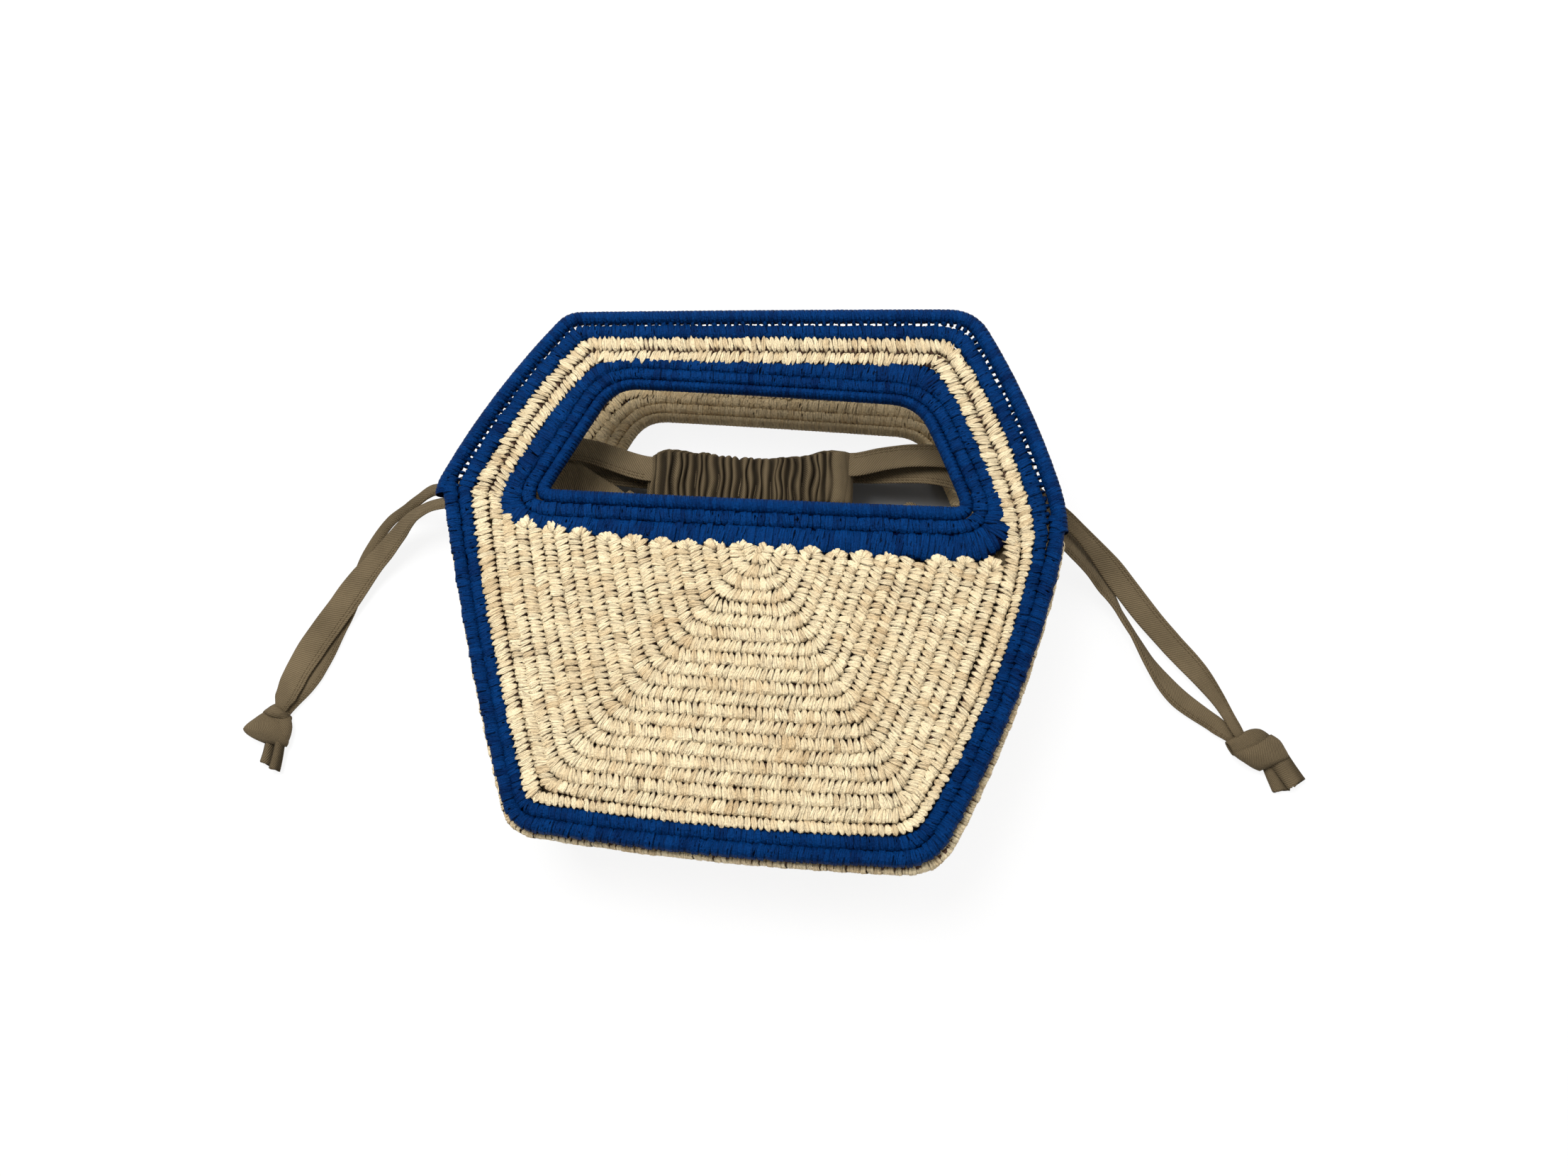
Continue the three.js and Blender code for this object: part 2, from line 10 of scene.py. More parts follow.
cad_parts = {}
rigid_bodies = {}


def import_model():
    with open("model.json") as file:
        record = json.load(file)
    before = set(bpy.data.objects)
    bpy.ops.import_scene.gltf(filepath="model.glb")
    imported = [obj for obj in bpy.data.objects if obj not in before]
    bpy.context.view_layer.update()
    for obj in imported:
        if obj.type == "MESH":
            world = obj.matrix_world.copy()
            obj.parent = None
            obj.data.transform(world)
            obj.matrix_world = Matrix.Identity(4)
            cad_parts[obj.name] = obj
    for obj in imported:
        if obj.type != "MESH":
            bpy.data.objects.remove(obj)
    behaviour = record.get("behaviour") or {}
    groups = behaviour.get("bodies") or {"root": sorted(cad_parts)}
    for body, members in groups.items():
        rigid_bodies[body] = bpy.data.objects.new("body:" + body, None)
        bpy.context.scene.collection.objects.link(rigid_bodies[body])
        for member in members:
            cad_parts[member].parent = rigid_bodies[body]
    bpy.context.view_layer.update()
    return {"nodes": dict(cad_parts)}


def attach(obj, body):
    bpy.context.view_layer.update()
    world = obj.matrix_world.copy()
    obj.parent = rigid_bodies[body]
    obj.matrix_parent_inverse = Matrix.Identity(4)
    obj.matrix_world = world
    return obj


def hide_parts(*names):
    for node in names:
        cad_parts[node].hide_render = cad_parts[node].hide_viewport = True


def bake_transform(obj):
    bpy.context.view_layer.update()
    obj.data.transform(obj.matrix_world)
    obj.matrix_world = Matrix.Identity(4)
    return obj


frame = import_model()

# ---------------------------------------------------------------------------------------
# The table, the light and the camera. The bag lies flat on a white table under soft, even
# light from above, and the camera looks down at it from over its lower right part.
scene = bpy.context.scene
scene.view_settings.view_transform = "Standard"


def place(name, data):
    made = bpy.data.objects.new(name, data)
    scene.collection.objects.link(made)
    return made


def new_mesh(name, points, faces, edges=()):
    made = bpy.data.meshes.new(name)
    made.from_pydata(points, edges, faces)
    return made


# The camera as it was fitted to the photo.
lens = bpy.data.cameras.new("camera")
lens.lens = 27.03
lens.sensor_width = 36
lens.clip_end = 20
camera = place("camera", lens)
turn = Matrix.Identity(3)
for axis, degrees in (("Z", -2.73), ("Y", -7.07), ("X", -15.68)):
    turn = turn @ Matrix.Rotation(math.radians(degrees), 3, axis)
camera.matrix_world = Matrix.Translation((0.0958, -0.1713, 0.6221)) @ turn.transposed().to_4x4()
scene.camera = camera


class Wire:
    """An output socket of a node. Arithmetic on it adds Math nodes to its tree."""

    def __init__(self, graph, socket):
        self.graph = graph
        self.socket = socket

    def output(self, name):
        return Wire(self.graph, self.socket.node.outputs[name])

    def maths(self, operation, *others):
        return self.graph.maths(operation, self, *others)

    def __rsub__(self, other):
        return self.graph.maths("SUBTRACT", other, self)


for sign, operation in (("add", "ADD"), ("radd", "ADD"), ("sub", "SUBTRACT"), ("pow", "POWER"),
                        ("mul", "MULTIPLY"), ("rmul", "MULTIPLY")):
    setattr(Wire, f"__{sign}__", functools.partialmethod(Wire.maths, operation))


class Graph:
    """The nodes of a material, of the world or of a geometry tree."""

    def __init__(self, tree):
        self.tree = tree

    def node(self, kind, inputs=None, output=0, **settings):
        made = self.tree.nodes.new(kind)
        for name, value in settings.items():
            setattr(made, name, value)
        self.feed(made, inputs or {})
        return Wire(self, made.outputs[output])

    def feed(self, node, inputs):
        for key, value in inputs.items():
            if isinstance(value, Wire):
                self.tree.links.new(value.socket, node.inputs[key])
            else:
                node.inputs[key].default_value = value

    def maths(self, operation, *values):
        return self.node("ShaderNodeMath", dict(enumerate(values)), operation=operation)

    def mix(self, factor, first, second):
        inputs = {0: factor, 6: first, 7: second}
        return self.node("ShaderNodeMix", inputs, 2, data_type="RGBA")

    def attribute(self, name):
        return self.node("ShaderNodeAttribute", output="Fac", attribute_name=name)

    def place_on_object(self):
        return self.node("ShaderNodeTexCoord", output="Object")

    def apart(self, vector):
        """A vector's x. Its output("Y") is the y."""
        return self.node("ShaderNodeSeparateXYZ", {0: vector})

    def bump(self, height, strength, distance):
        return self.node("ShaderNodeBump", {
            "Height": height, "Strength": strength, "Distance": distance})

    def noise(self, vector, scale, detail=2.0, roughness=0.5):
        return self.node("ShaderNodeTexNoise", {
            "Vector": vector, "Scale": scale, "Detail": detail, "Roughness": roughness})


def new_finish(name):
    """An empty material, its graph and its shader."""
    made = bpy.data.materials.new(name)
    made.use_nodes = True
    return made, Graph(made.node_tree), made.node_tree.nodes["Principled BSDF"]


def see_white(graph):
    """1 for the rays that should meet a white background, and 0 for the light's own."""
    seen = graph.node("ShaderNodeLightPath")
    mirrored = seen.output("Is Glossy Ray")
    return seen.maths("MAXIMUM", mirrored.maths("MAXIMUM", seen.output("Is Transmission Ray")))


half = 6.0
table_mesh = new_mesh("table", [
    (-half, -half, 0), (half, -half, 0), (half, half, 0), (-half, half, 0)], [(0, 1, 2, 3)])
table = place("table", table_mesh)
table.location.z = -0.0004  # clear of the lowest stitches
table_finish, graph, shader = new_finish("table")
glow = graph.node("ShaderNodeEmission", {"Color": (1, 1, 1, 1), "Strength": 1.0})
spot = graph.apart(graph.place_on_object())
# It is bright all round, but not where it shows through the bag: there it would light the inside,
# and there its colour is darkened as painted shade of the bag's own shadow. These are that place's
# middle and half size.
UNDER_BAG = ((spot, 0.0, 0.13), (spot.output("Y"), 0.05, 0.022))
SOFT_EDGE = 0.008
glowing_unshaded_table = graph.maths("MAXIMUM", *(graph.node("ShaderNodeMapRange", {
    0: (offset - middle).maths("ABSOLUTE"), 1: reach, 2: reach + SOFT_EDGE},
    interpolation_type="SMOOTHSTEP") for offset, middle, reach in UNDER_BAG))
# Under the bag the floor's colour falls to 0.2: painted shade.
graph.feed(shader, {"Roughness": 0.9, "Base Color": glowing_unshaded_table * 0.7 + 0.2})
graph.feed(table_finish.node_tree.nodes["Material Output"], {
    "Surface": graph.node("ShaderNodeMixShader", {
        0: see_white(graph) * glowing_unshaded_table * 0.88, 1: Wire(graph, shader.outputs[0]), 2: glow})})
table_mesh.materials.append(table_finish)

world = bpy.data.worlds.new("studio")
world.use_nodes = True
scene.world = world
graph = Graph(world.node_tree)
graph.feed(world.node_tree.nodes["Background"], {
    "Color": (1, 1, 1, 1), "Strength": see_white(graph) * 0.64 + 0.36})


def lamp(name, power, at):
    """A square lamp that is aimed at the bag."""
    data = bpy.data.lights.new(name, "AREA")
    data.shape = "RECTANGLE"
    data.size = data.size_y = 0.8
    data.energy = power
    aim = (-Vector(at)).to_track_quat("-Z", "Y").to_matrix().to_4x4()
    place(name, data).matrix_world = Matrix.Translation(at) @ aim


lamp("ceiling_light", 27, (-0.35, 0.4, 1.35))
lamp("window_light", 5, (0.9, 0.3, 1.1))

# ---------------------------------------------------------------------------------------
# The drawstrings: flat tape, folded from khaki cotton twill and stitched along its edge.
# Each one comes out of the collar twice, runs over the bag's widest corner and hangs down
# to its knot, and here it lies on the table beside the bag.
mm = 0.001  # from here on the sizes are in millimetres
# Where each run goes: x, y, z, and how many degrees the tape is rolled there, if it is.
LEFT_UPPER = [
    (-47.4, 57.3, 33), (-62.1, 58.3, 33), (-75, 61.5, 33), (-89, 65.8, 33), (-105, 68.5, 33),
    (-122, 66.5, 33), (-140, 58, 32.5), (-157, 49.5, 31.5), (-173.9, 43.6, 29),
    (-184.4, 44, 24), (-194.1, 41.6, 17), (-204.7, 37, 10), (-214.2, 32.1, 5.5),
    (-221.2, 24, 3), (-227.2, 11.1, 1.8), (-230.3, -3, 1.4), (-232.6, -17.7, 1.3),
    (-237.3, -32.2, 1.3), (-241.2, -46.7, 1.3), (-246.3, -61.2, 1.4), (-253.9, -74.7, 1.8),
    (-259, -84.6, 2.4)]
LEFT_LOWER = [
    (-47.4, 57.3, 19), (-62.1, 58.3, 19), (-80, 58.9, 21), (-96, 61, 23, 10),
    (-108, 61.5, 24, 25), (-125, 57, 26, 42), (-143, 47, 27, 46), (-160, 39, 27.5, 44),
    (-174.2, 36, 27, 42), (-182.7, 34.2, 25.5, 40), (-192.1, 30.6, 22, 34),
    (-202.1, 23.5, 16, 20), (-213.3, 11.4, 10, 10), (-226, -3.9, 6), (-236, -20.7, 4.4),
    (-246.9, -40.6, 3.9), (-255.6, -60, 3.9), (-258.5, -71.8, 4.6), (-260, -81, 5.4)]
RIGHT_UPPER = [
    (38, 64.8, 31.2), (53.7, 65.5, 31.2), (66, 68.6, 31.6), (80.3, 71, 32), (97, 71.5, 32),
    (114, 69, 32), (131, 61.5, 32), (148, 50.5, 31.5), (164.3, 39.9, 30), (170.4, 34.7, 28),
    (176.9, 30, 23), (188.5, 20.1, 14), (199.7, 7.9, 8), (210.4, -4.7, 5), (222.8, -18.7, 3.8),
    (234.9, -31.9, 3.6), (244.5, -45.2, 4.4), (250.2, -55.2, 5), (254.1, -62.5, 5.6)]
RIGHT_LOWER = [
    (38, 64.8, 20.8), (53.7, 65.5, 20.8), (65.3, 65.3, 22), (84.4, 65.5, 24.5),
    (101.3, 63.5, 26.5), (117, 58, 27), (134, 48, 27), (150, 38.5, 27, -10),
    (163.8, 30.5, 25, -30), (172.1, 23.5, 20.5, -40), (181.6, 15.2, 14, -40),
    (188.1, 7.6, 10, -45), (194.7, -2.9, 8.4, -60), (202.4, -15.2, 7.6, -60),
    (210.7, -29.1, 6.2, -40), (218, -38.6, 4, -20), (226.9, -47.2, 2.3, -6),
    (236.3, -53.8, 1.8), (243.6, -58.6, 2), (250.7, -64.2, 2.4)]
TAPE_WIDTH = 14
HALF_TAPE = TAPE_WIDTH / 2
TAPE_THICKNESS = 1.4
INTO_KNOT = 5  # how far the tape runs on inside its knot
UP = Vector((0, 0, 1))
FULL_TURN = 6.28  # near enough for ripples


def smooth_run(route, steps):
    """Points on a smooth curve through the route's points, each with its own place in it."""
    knots = [Vector(point) for point in route]
    knots = [2 * knots[0] - knots[1], *knots, 2 * knots[-1] - knots[-2]]
    run = []
    for i in range(1, len(knots) - 2):
        four = knots[i - 1:i + 3]
        t = [0.0]
        for before, after in zip(four, four[1:]):
            t.append(t[-1] + math.sqrt((after - before).length))
        last = i == len(knots) - 3
        for step in range(steps + last):
            at = t[1] + (t[2] - t[1]) * step / steps
            layer, wide = four, 1
            while len(layer) > 1:
                layer = [
                    layer[j].lerp(layer[j + 1], (at - t[j]) / (t[j + wide] - t[j]))
                    for j in range(len(layer) - 1)]
                wide += 1
            run.append((layer[0], i - 1 + step / steps))
    return run


def smooth(t):
    return t * t * (3 - 2 * t)


def ramp(x, start, length):
    """0 up to the start, then evenly to 1 over the length."""
    return min(max((x - start) / length, 0), 1)


def angles(count, shift=0):
    """Even steps of a whole turn."""
    return [2 * math.pi * (i + shift) / count for i in range(count)]


def height_at(table, x, ease=lambda t: t):
    """The height at x of a line through the points of a table."""
    for (x0, y0), (x1, y1) in zip(table, table[1:]):
        if x <= x1:
            return y0 + (y1 - y0) * ease(max(0, (x - x0) / (x1 - x0)))
    return table[-1][1]


def bands(rings, count, joined, closed=True):
    """The faces between rings of count points: (ring, point, the face's four corners)."""
    for i in range(rings if joined else rings - 1):
        after = (i + 1) % rings * count
        for j in range(count if closed else count - 1):
            right = (j + 1) % count
            yield i, j, (i * count + j, i * count + right, after + right, after + j)


def skin(name, rings, along, across, closed=True, ends="cap"):
    """Cloth or tape over rings of points, with its weave's map in metres: along, across."""
    count = len(rings[0])
    faces, places = [], []
    for i, j, face in bands(len(rings), count, ends == "join", closed):
        faces.append(face)
        places += [(along[i], across[j]), (along[i], across[j + 1]),
                   (along[i + 1], across[j + 1]), (along[i + 1], across[j])]
    if ends == "cap":
        for i, order in ((0, range(count - 1, -1, -1)), (len(rings) - 1, range(count))):
            faces.append([i * count + j for j in order])
            places += [(along[i], across[j]) for j in order]
    mesh = new_mesh(name, [point for ring in rings for point in ring], faces)
    weave = mesh.uv_layers.new(name="weave")
    weave.data.foreach_set("uv", [number * mm for pair in places for number in pair])
    return tidy(mesh)


def tidy(mesh, scale=mm):
    """Scales a mesh, points its faces outwards and smooths it."""
    mesh.transform(Matrix.Scale(scale, 4))
    work = bmesh.new()
    work.from_mesh(mesh)
    bmesh.ops.recalc_face_normals(work, faces=work.faces)
    work.to_mesh(mesh)
    work.free()
    mesh.polygons.foreach_set("use_smooth", [True] * len(mesh.polygons))
    return mesh


def mark(mesh, name, values):
    """Gives each of a mesh's points a number, for its material or its stitches."""
    mesh.attributes.new(name, "FLOAT", "POINT").data.foreach_set("value", values)


def twill_finish(name, lit, shade):
    """Cotton twill: slanting wales of a light and a dark thread, slightly worn. Its two colours are
    the cloth lit and in shade, and its creases take painted shade, down to near black.
    """
    material, graph, shader = new_finish(name)
    weave = graph.node("ShaderNodeUVMap", uv_map="weave")
    parts = graph.apart(weave)
    slant = parts * 4100 + parts.output("Y") * 4400 + graph.noise(weave, 160.0) * 3
    wale = slant.maths("SINE")
    thread = graph.noise(weave, 2600.0, 1.0)
    wear = graph.noise(graph.place_on_object(), 45.0, 3.0)
    # The crease marks carry painted shade: they pull the colour to the shaded tone and to near
    # black.
    crease = graph.attribute("crease")
    light = wale * 0.24 + thread * 0.3 + wear * 0.8 - 0.05 - crease * 1.2
    crease_shade_colour = (0.008, 0.006, 0.004, 1)
    graph.feed(shader, {
        "Base Color": graph.mix(crease * 0.8, graph.mix(light, shade, lit), crease_shade_colour),
        "Normal": graph.bump(wale * 0.6 + thread * 0.2, 0.8, 0.0003),
        "Roughness": wear * 0.1 + 0.84,
        "Specular IOR Level": 0.1})
    return material


TWILL = twill_finish("khaki_twill", (0.19, 0.142, 0.082, 1), (0.062, 0.045, 0.024, 1))
SEAM = twill_finish("khaki_thread", (0.09, 0.064, 0.033, 1), (0.03, 0.021, 0.011, 1))


def dress(name, mesh, body, *replaced, finish=TWILL, slot="twill"):
    """A finished piece: it rides on its body and stands for the CAD nodes it replaces."""
    if finish:
        mesh.materials.clear()
        mesh.materials.append(finish)
    made = place(name, mesh)
    if body:
        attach(made, body)
    if replaced:
        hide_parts(*replaced)
    return made


# The tape's section, across and up: a fold at one edge, and at the other the hem with its
# two lines of stitches.
SECTION = [
    (-7, 0), (-6.8, 0.38), (-6.3, 0.6), (-5.4, 0.42), (-4.6, 0.64), (-3.8, 0.46), (-3, 0.68),
    (-1, 0.74), (1.5, 0.7), (4, 0.74), (5.8, 0.68), (6.7, 0.42), (7, 0)]
SECTION += [(x, -y) for x, y in reversed(SECTION[1:-1])]
STITCH_LINES = (-5.4, -3.8)  # how far across the tape they run


def beside(run, i, closed=False):
    """The items of a run before and after one of them. At an open end it is its own."""
    if closed:
        return run[i - 1], run[(i + 1) % len(run)]
    return run[max(i - 1, 0)], run[min(i + 1, len(run) - 1)]


def tape_frames(route, steps):
    """Where the tape's middle lies, and its along, across and upward directions there."""
    run = smooth_run([point[:3] for point in route], steps)
    rolls = [(i, [*point, 0][3]) for i, point in enumerate(route)]
    frames = []
    for i, (middle, place_in) in enumerate(run):
        before, after = beside(run, i)
        along = (after[0] - before[0]).normalized()
        roll = Matrix.Rotation(math.radians(height_at(rolls, place_in)), 3, along)
        normal = roll @ along.cross(UP).normalized().cross(along)
        frames.append((middle, along, along.cross(normal), normal))
    return frames


def reaches(points, closed=False):
    """How far along a run of points each of them is."""
    reached = [0.0]
    for before, after in zip(points, [*points[1:], points[0]] if closed else points[1:]):
        reached.append(reached[-1] + math.dist(before, after))
    return reached


def fold_height(kept):
    """How many times thicker a tape is where it keeps that much of its width."""
    return 1.9 - 0.9 * kept


def tape(name, frames, seed, hem, folds, hand=1):
    """A tape along the frames: it ripples a little, and its edges aren't quite straight.
    hem is the side of its stitched edge, folds how much of its width it keeps, by shares of
    its length, and hand which way its twill slants."""
    draw = random.Random(seed)
    # Its ripples' lengths, phases and heights.
    waves = [(draw.uniform(14, 60), draw.uniform(0, 6), draw.uniform(0.1, 0.3)) for _ in range(4)]
    along = reaches([frame[0] for frame in frames])
    rings = []
    for reach, (middle, _, across, up) in zip(along, frames):
        kept = height_at(folds, reach / along[-1], smooth)
        wide = kept * (1 + 0.02 * math.sin(reach / 17 + seed))
        ring = []
        for x, y in SECTION:
            side = x / HALF_TAPE
            lift = sum(size * math.sin(reach / length * FULL_TURN + shift + side * (1 + k))
                       for k, (length, shift, size) in enumerate(waves))
            ring.append(middle + across * (x * hem * wide)
                        + up * (y * fold_height(kept) + lift * 0.35 * side * side))
        rings.append(ring)
    return skin(name, rings, along, [hand * reach for reach in reaches(SECTION, True)])


ALIKE = 3  # how many stitches of each kind there are to pick from
FANNED = 1.2  # from this spread on, a stitch is of the second kind


def stitch_tree():
    """The stitches of sewn and whipped rows: it sets one stitch after another along each
    row, picked from a few shapes, over the row's core."""
    tree = bpy.data.node_groups.new("stitches_along_rows", "GeometryNodeTree")
    for name, kind in (("Rows", "Geometry"), ("Shapes", "Collection"), ("Core", "Object"),
                       ("Pitch", "Float"), ("Breadth", "Float"), ("Height", "Float"),
                       ("Slant", "Float"), ("Unevenness", "Float"), ("Ruffle", "Float"),
                       ("Seed", "Int"), ("Finish", "Material")):
        tree.interface.new_socket(name, in_out="INPUT", socket_type=f"NodeSocket{kind}")
    tree.interface.new_socket("Sewn", in_out="OUTPUT", socket_type="NodeSocketGeometry")
    graph = Graph(tree)
    given = graph.node("NodeGroupInput").output

    def attribute(name, kind="FLOAT"):
        return graph.node("GeometryNodeInputNamedAttribute", {"Name": name}, data_type=kind)

    def chance(kind, low, high, salt, inputs, output):
        """A random value of each stitch. Float and whole values have their own sockets."""
        return graph.node("FunctionNodeRandomValue", {
            inputs: low, inputs + 1: high, 8: given("Seed") + salt}, output, data_type=kind)

    def uneven(amount, salt):
        return chance("FLOAT", -amount, amount, salt, 2, 1) * given("Unevenness")

    def store(geometry, domain, name, value):
        return graph.node("GeometryNodeStoreNamedAttribute", {
            "Geometry": geometry, "Name": name, "Value": value}, data_type="FLOAT", domain=domain)

    def vector(operation, inputs):
        return graph.node("ShaderNodeVectorMath", inputs, operation=operation)

    line = graph.node("GeometryNodeResampleCurve", {
        "Curve": graph.node("GeometryNodeMeshToCurve", {"Mesh": given("Rows")}),
        "Length": given("Pitch")}, mode="LENGTH")
    turned = graph.node("FunctionNodeAlignRotationToVector", {
        "Vector": graph.node("GeometryNodeInputTangent")}, axis="X")
    turned = graph.node("FunctionNodeAlignRotationToVector", {
        "Rotation": turned, "Vector": attribute("facing", "FLOAT_VECTOR")},
        axis="Z", pivot_axis="X")
    angle = attribute("flip") * math.pi + attribute("lean") * given("Slant") + uneven(0.14, 1)
    twist = graph.node("ShaderNodeCombineXYZ", {"X": uneven(0.15, 2), "Z": angle})
    turned = graph.node("FunctionNodeRotateRotation", {
        "Rotation": turned, "Rotate By": graph.node("FunctionNodeEulerToRotation", {0: twist})},
        rotation_space="LOCAL")
    spread = attribute("spread")
    size = graph.node("ShaderNodeCombineXYZ", {
        "X": given("Pitch") * given("Breadth") * spread * (uneven(0.2, 3) + 1),
        "Y": attribute("row_width") * (uneven(0.12, 4) + 1),
        "Z": given("Height") * (uneven(0.1, 5) + 1)})
    shapes = graph.node("GeometryNodeCollectionInfo", {
        "Collection": given("Shapes"), "Separate Children": True, "Reset Children": True})
    pick = chance("INT", 0, ALIKE - 1, 6, 4, 2) + spread.maths("GREATER_THAN", FANNED) * ALIKE
    sewn = graph.node("GeometryNodeInstanceOnPoints", {
        "Points": line, "Instance": shapes, "Pick Instance": True, "Instance Index": pick,
        "Rotation": turned, "Scale": size})
    sewn = store(sewn, "INSTANCE", "tone", chance("FLOAT", 0.0, 1.0, 7, 2, 1))
    sewn = graph.node("GeometryNodeRealizeInstances", {"Geometry": sewn})
    rough = graph.node("ShaderNodeTexNoise", {"Scale": 620.0, "Detail": 2.0}, "Color")
    rough = vector("SCALE", {
        0: vector("SUBTRACT", {0: rough, 1: (0.5, 0.5, 0.5)}), "Scale": given("Ruffle")})
    sewn = graph.node("GeometryNodeSetPosition", {"Geometry": sewn, "Offset": rough})
    core = graph.node("GeometryNodeObjectInfo", {"Object": given("Core")}, "Geometry")
    joined = graph.node("GeometryNodeJoinGeometry", {0: sewn})
    # The core is painted near black: painted shade in the gaps between its stitches.
    graph.feed(joined.socket.node, {0: store(core, "POINT", "depth", 3.0)})
    done = graph.node("GeometryNodeRealizeInstances", {"Geometry": joined})
    done = graph.node("GeometryNodeSetMaterial", {"Geometry": done, "Material": given("Finish")})
    graph.feed(tree.nodes.new("NodeGroupOutput"), {0: done})
    return tree


STITCHES = stitch_tree()


def row_lines(name, rows):
    """The centre lines of rows as loose edges. A row is (points, closed), and a point is
    (place, facing, width, flip, lean, spread), in millimetres."""
    points, edges = [], []
    for row, closed in rows:
        first, count = len(points), len(row)
        points += row
        edges += [(first + i, first + (i + 1) % count) for i in range(count - (not closed))]
    mesh = new_mesh(name, [point[0] * mm for point in points], [], edges)
    facing = mesh.attributes.new("facing", "FLOAT_VECTOR", "POINT")
    facing.data.foreach_set("vector", [number for point in points for number in point[1]])
    mark(mesh, "row_width", [point[2] * mm for point in points])
    for column, key in ((3, "flip"), (4, "lean"), (5, "spread")):
        mark(mesh, key, [point[column] for point in points])
    return mesh


def realized(made):
    """A plain mesh of an object with its modifiers."""
    graph = bpy.context.evaluated_depsgraph_get()
    return bpy.data.meshes.new_from_object(
        made.evaluated_get(graph), preserve_all_data_layers=True, depsgraph=graph)


def sew(name, rows, finish, seed, shapes, pitch, height, breadth=1.0, slant=0, uneven=1.0,
        ruffle=0, core=None):
    """One plain mesh of all the stitches along the rows, with their core."""
    holder = place(name, row_lines(name, rows))
    modifier = holder.modifiers.new("stitches", "NODES")
    modifier.node_group = STITCHES
    values = {"Shapes": shapes, "Core": core, "Pitch": pitch * mm, "Breadth": breadth,
              "Height": height * mm, "Slant": math.radians(slant), "Unevenness": uneven,
              "Ruffle": ruffle * mm, "Seed": seed, "Finish": finish}
    for item in STITCHES.interface.items_tree:
        if values.get(item.name) is not None:
            modifier[item.identifier] = values[item.name]
    mesh = realized(holder)
    bpy.data.objects.remove(holder)
    if core:
        bpy.data.objects.remove(core)
    mesh.name = name
    mesh.polygons.foreach_set("use_smooth", [True] * len(mesh.polygons))
    return mesh


def stitch_shapes(name, kinds, profile, seed, spread=0.03):
    """A few like stitches of each kind as closed bands: the first kind for a row's run, and
    the second for its turns. A kind is a list of (across, up, breadth), round the row's
    section, and the profile is (along, rise, painted shade), over one stitch's breadth; the
    painted shade darkens a stitch where it dips between its neighbours. All are
    shares of the row's width, its height and the stitches' pitch."""
    shapes = bpy.data.collections.new(name)
    draw = random.Random(seed)
    count = len(profile)
    for variant in range(ALIKE * len(kinds)):
        stations = kinds[variant // ALIKE]
        vertices, depths, places = [], [], []
        lobes = [(x + draw.uniform(-0.06, 0.06) * (0 < i < count - 1),
                  rise * draw.uniform(0.7, 1.2), depth)
                 for i, (x, rise, depth) in enumerate(profile)]
        lean = draw.uniform(-0.12, 0.12)
        for i, (y, z, breadth) in enumerate(stations):
            y += draw.uniform(-spread, spread)
            out = Vector((y, z)).normalized()
            painted_shading = max(0, 0.8 - breadth) * (1.3 if y < 0 else 0.2)  # painted shade where a narrow end goes down
            for x, rise, depth in lobes:
                x += draw.uniform(-spread, spread)
                rise += draw.uniform(-spread, spread) * 0.4
                vertices.append((x * breadth + lean * y, y + out.x * rise, z + out.y * rise))
                depths.append(depth + painted_shading)
                places.append((x + 0.5, i / len(stations)))
        mesh = new_mesh(f"{name}_{variant}", vertices,
                        [face for *_, face in bands(len(stations), count, True)])
        mark(mesh, "depth", depths)
        strand_map = mesh.uv_layers.new(name="strand")
        for loop in mesh.loops:
            strand_map.data[loop.index].uv = places[loop.vertex_index]
        shapes.objects.link(bpy.data.objects.new(mesh.name, tidy(mesh, 1)))
    return shapes


def oval(count, width, height, breadth=1.0):
    """Stations evenly round a flat oval."""
    return [(width * math.cos(t), height * math.sin(t), breadth) for t in angles(count)]


THREAD = stitch_shapes("thread", [oval(6, 0.5, 0.5)], [
    (-0.5, -0.3, 0.2), (-0.3, 0, 0), (0.3, 0, 0), (0.5, -0.3, 0.2)], 3, 0)


def topstitch(name, frames, offsets, folds):
    """Lines of stitches along a tape, near one edge."""
    rows = []
    along = reaches([frame[0] for frame in frames])
    for offset in offsets:
        row = []
        for reach, (middle, _, across, up) in zip(along, frames):
            kept = height_at(folds, reach / along[-1], smooth)
            spot = middle + across * offset * kept + up * (0.5 * fold_height(kept))
            row.append((spot, up, 0.45, 0, 0, 1))
        rows.append((row[6:], False))  # it starts where the tape comes into view
    return sew(name, rows, SEAM, 5, THREAD, pitch=2.7, height=0.34, breadth=0.8, uneven=0.3)


def strand(side, level, route, hem, seed, folds):
    """One visible run of a drawstring, from inside the collar to inside the knot."""
    body = f"{side}_drawstring"
    name = f"{body}_{level}_tape"
    frames = tape_frames(route, 6)
    middle, along, across, up = frames[-1]
    frames.append((middle + along * INTO_KNOT, along, across, up))
    mesh = tape(name, frames, seed, hem, folds, 1 if side == "right" else -1)
    made = dress(name, mesh, body, f"{body}_{level}_strand")
    mesh = topstitch(name, frames, [x * hem for x in STITCH_LINES], folds)
    seams = dress(f"{name}_seams", mesh, body, finish=SEAM)
    path = [frame[0] * mm for frame in frames]
    round(reaches(path)[-1], 3)


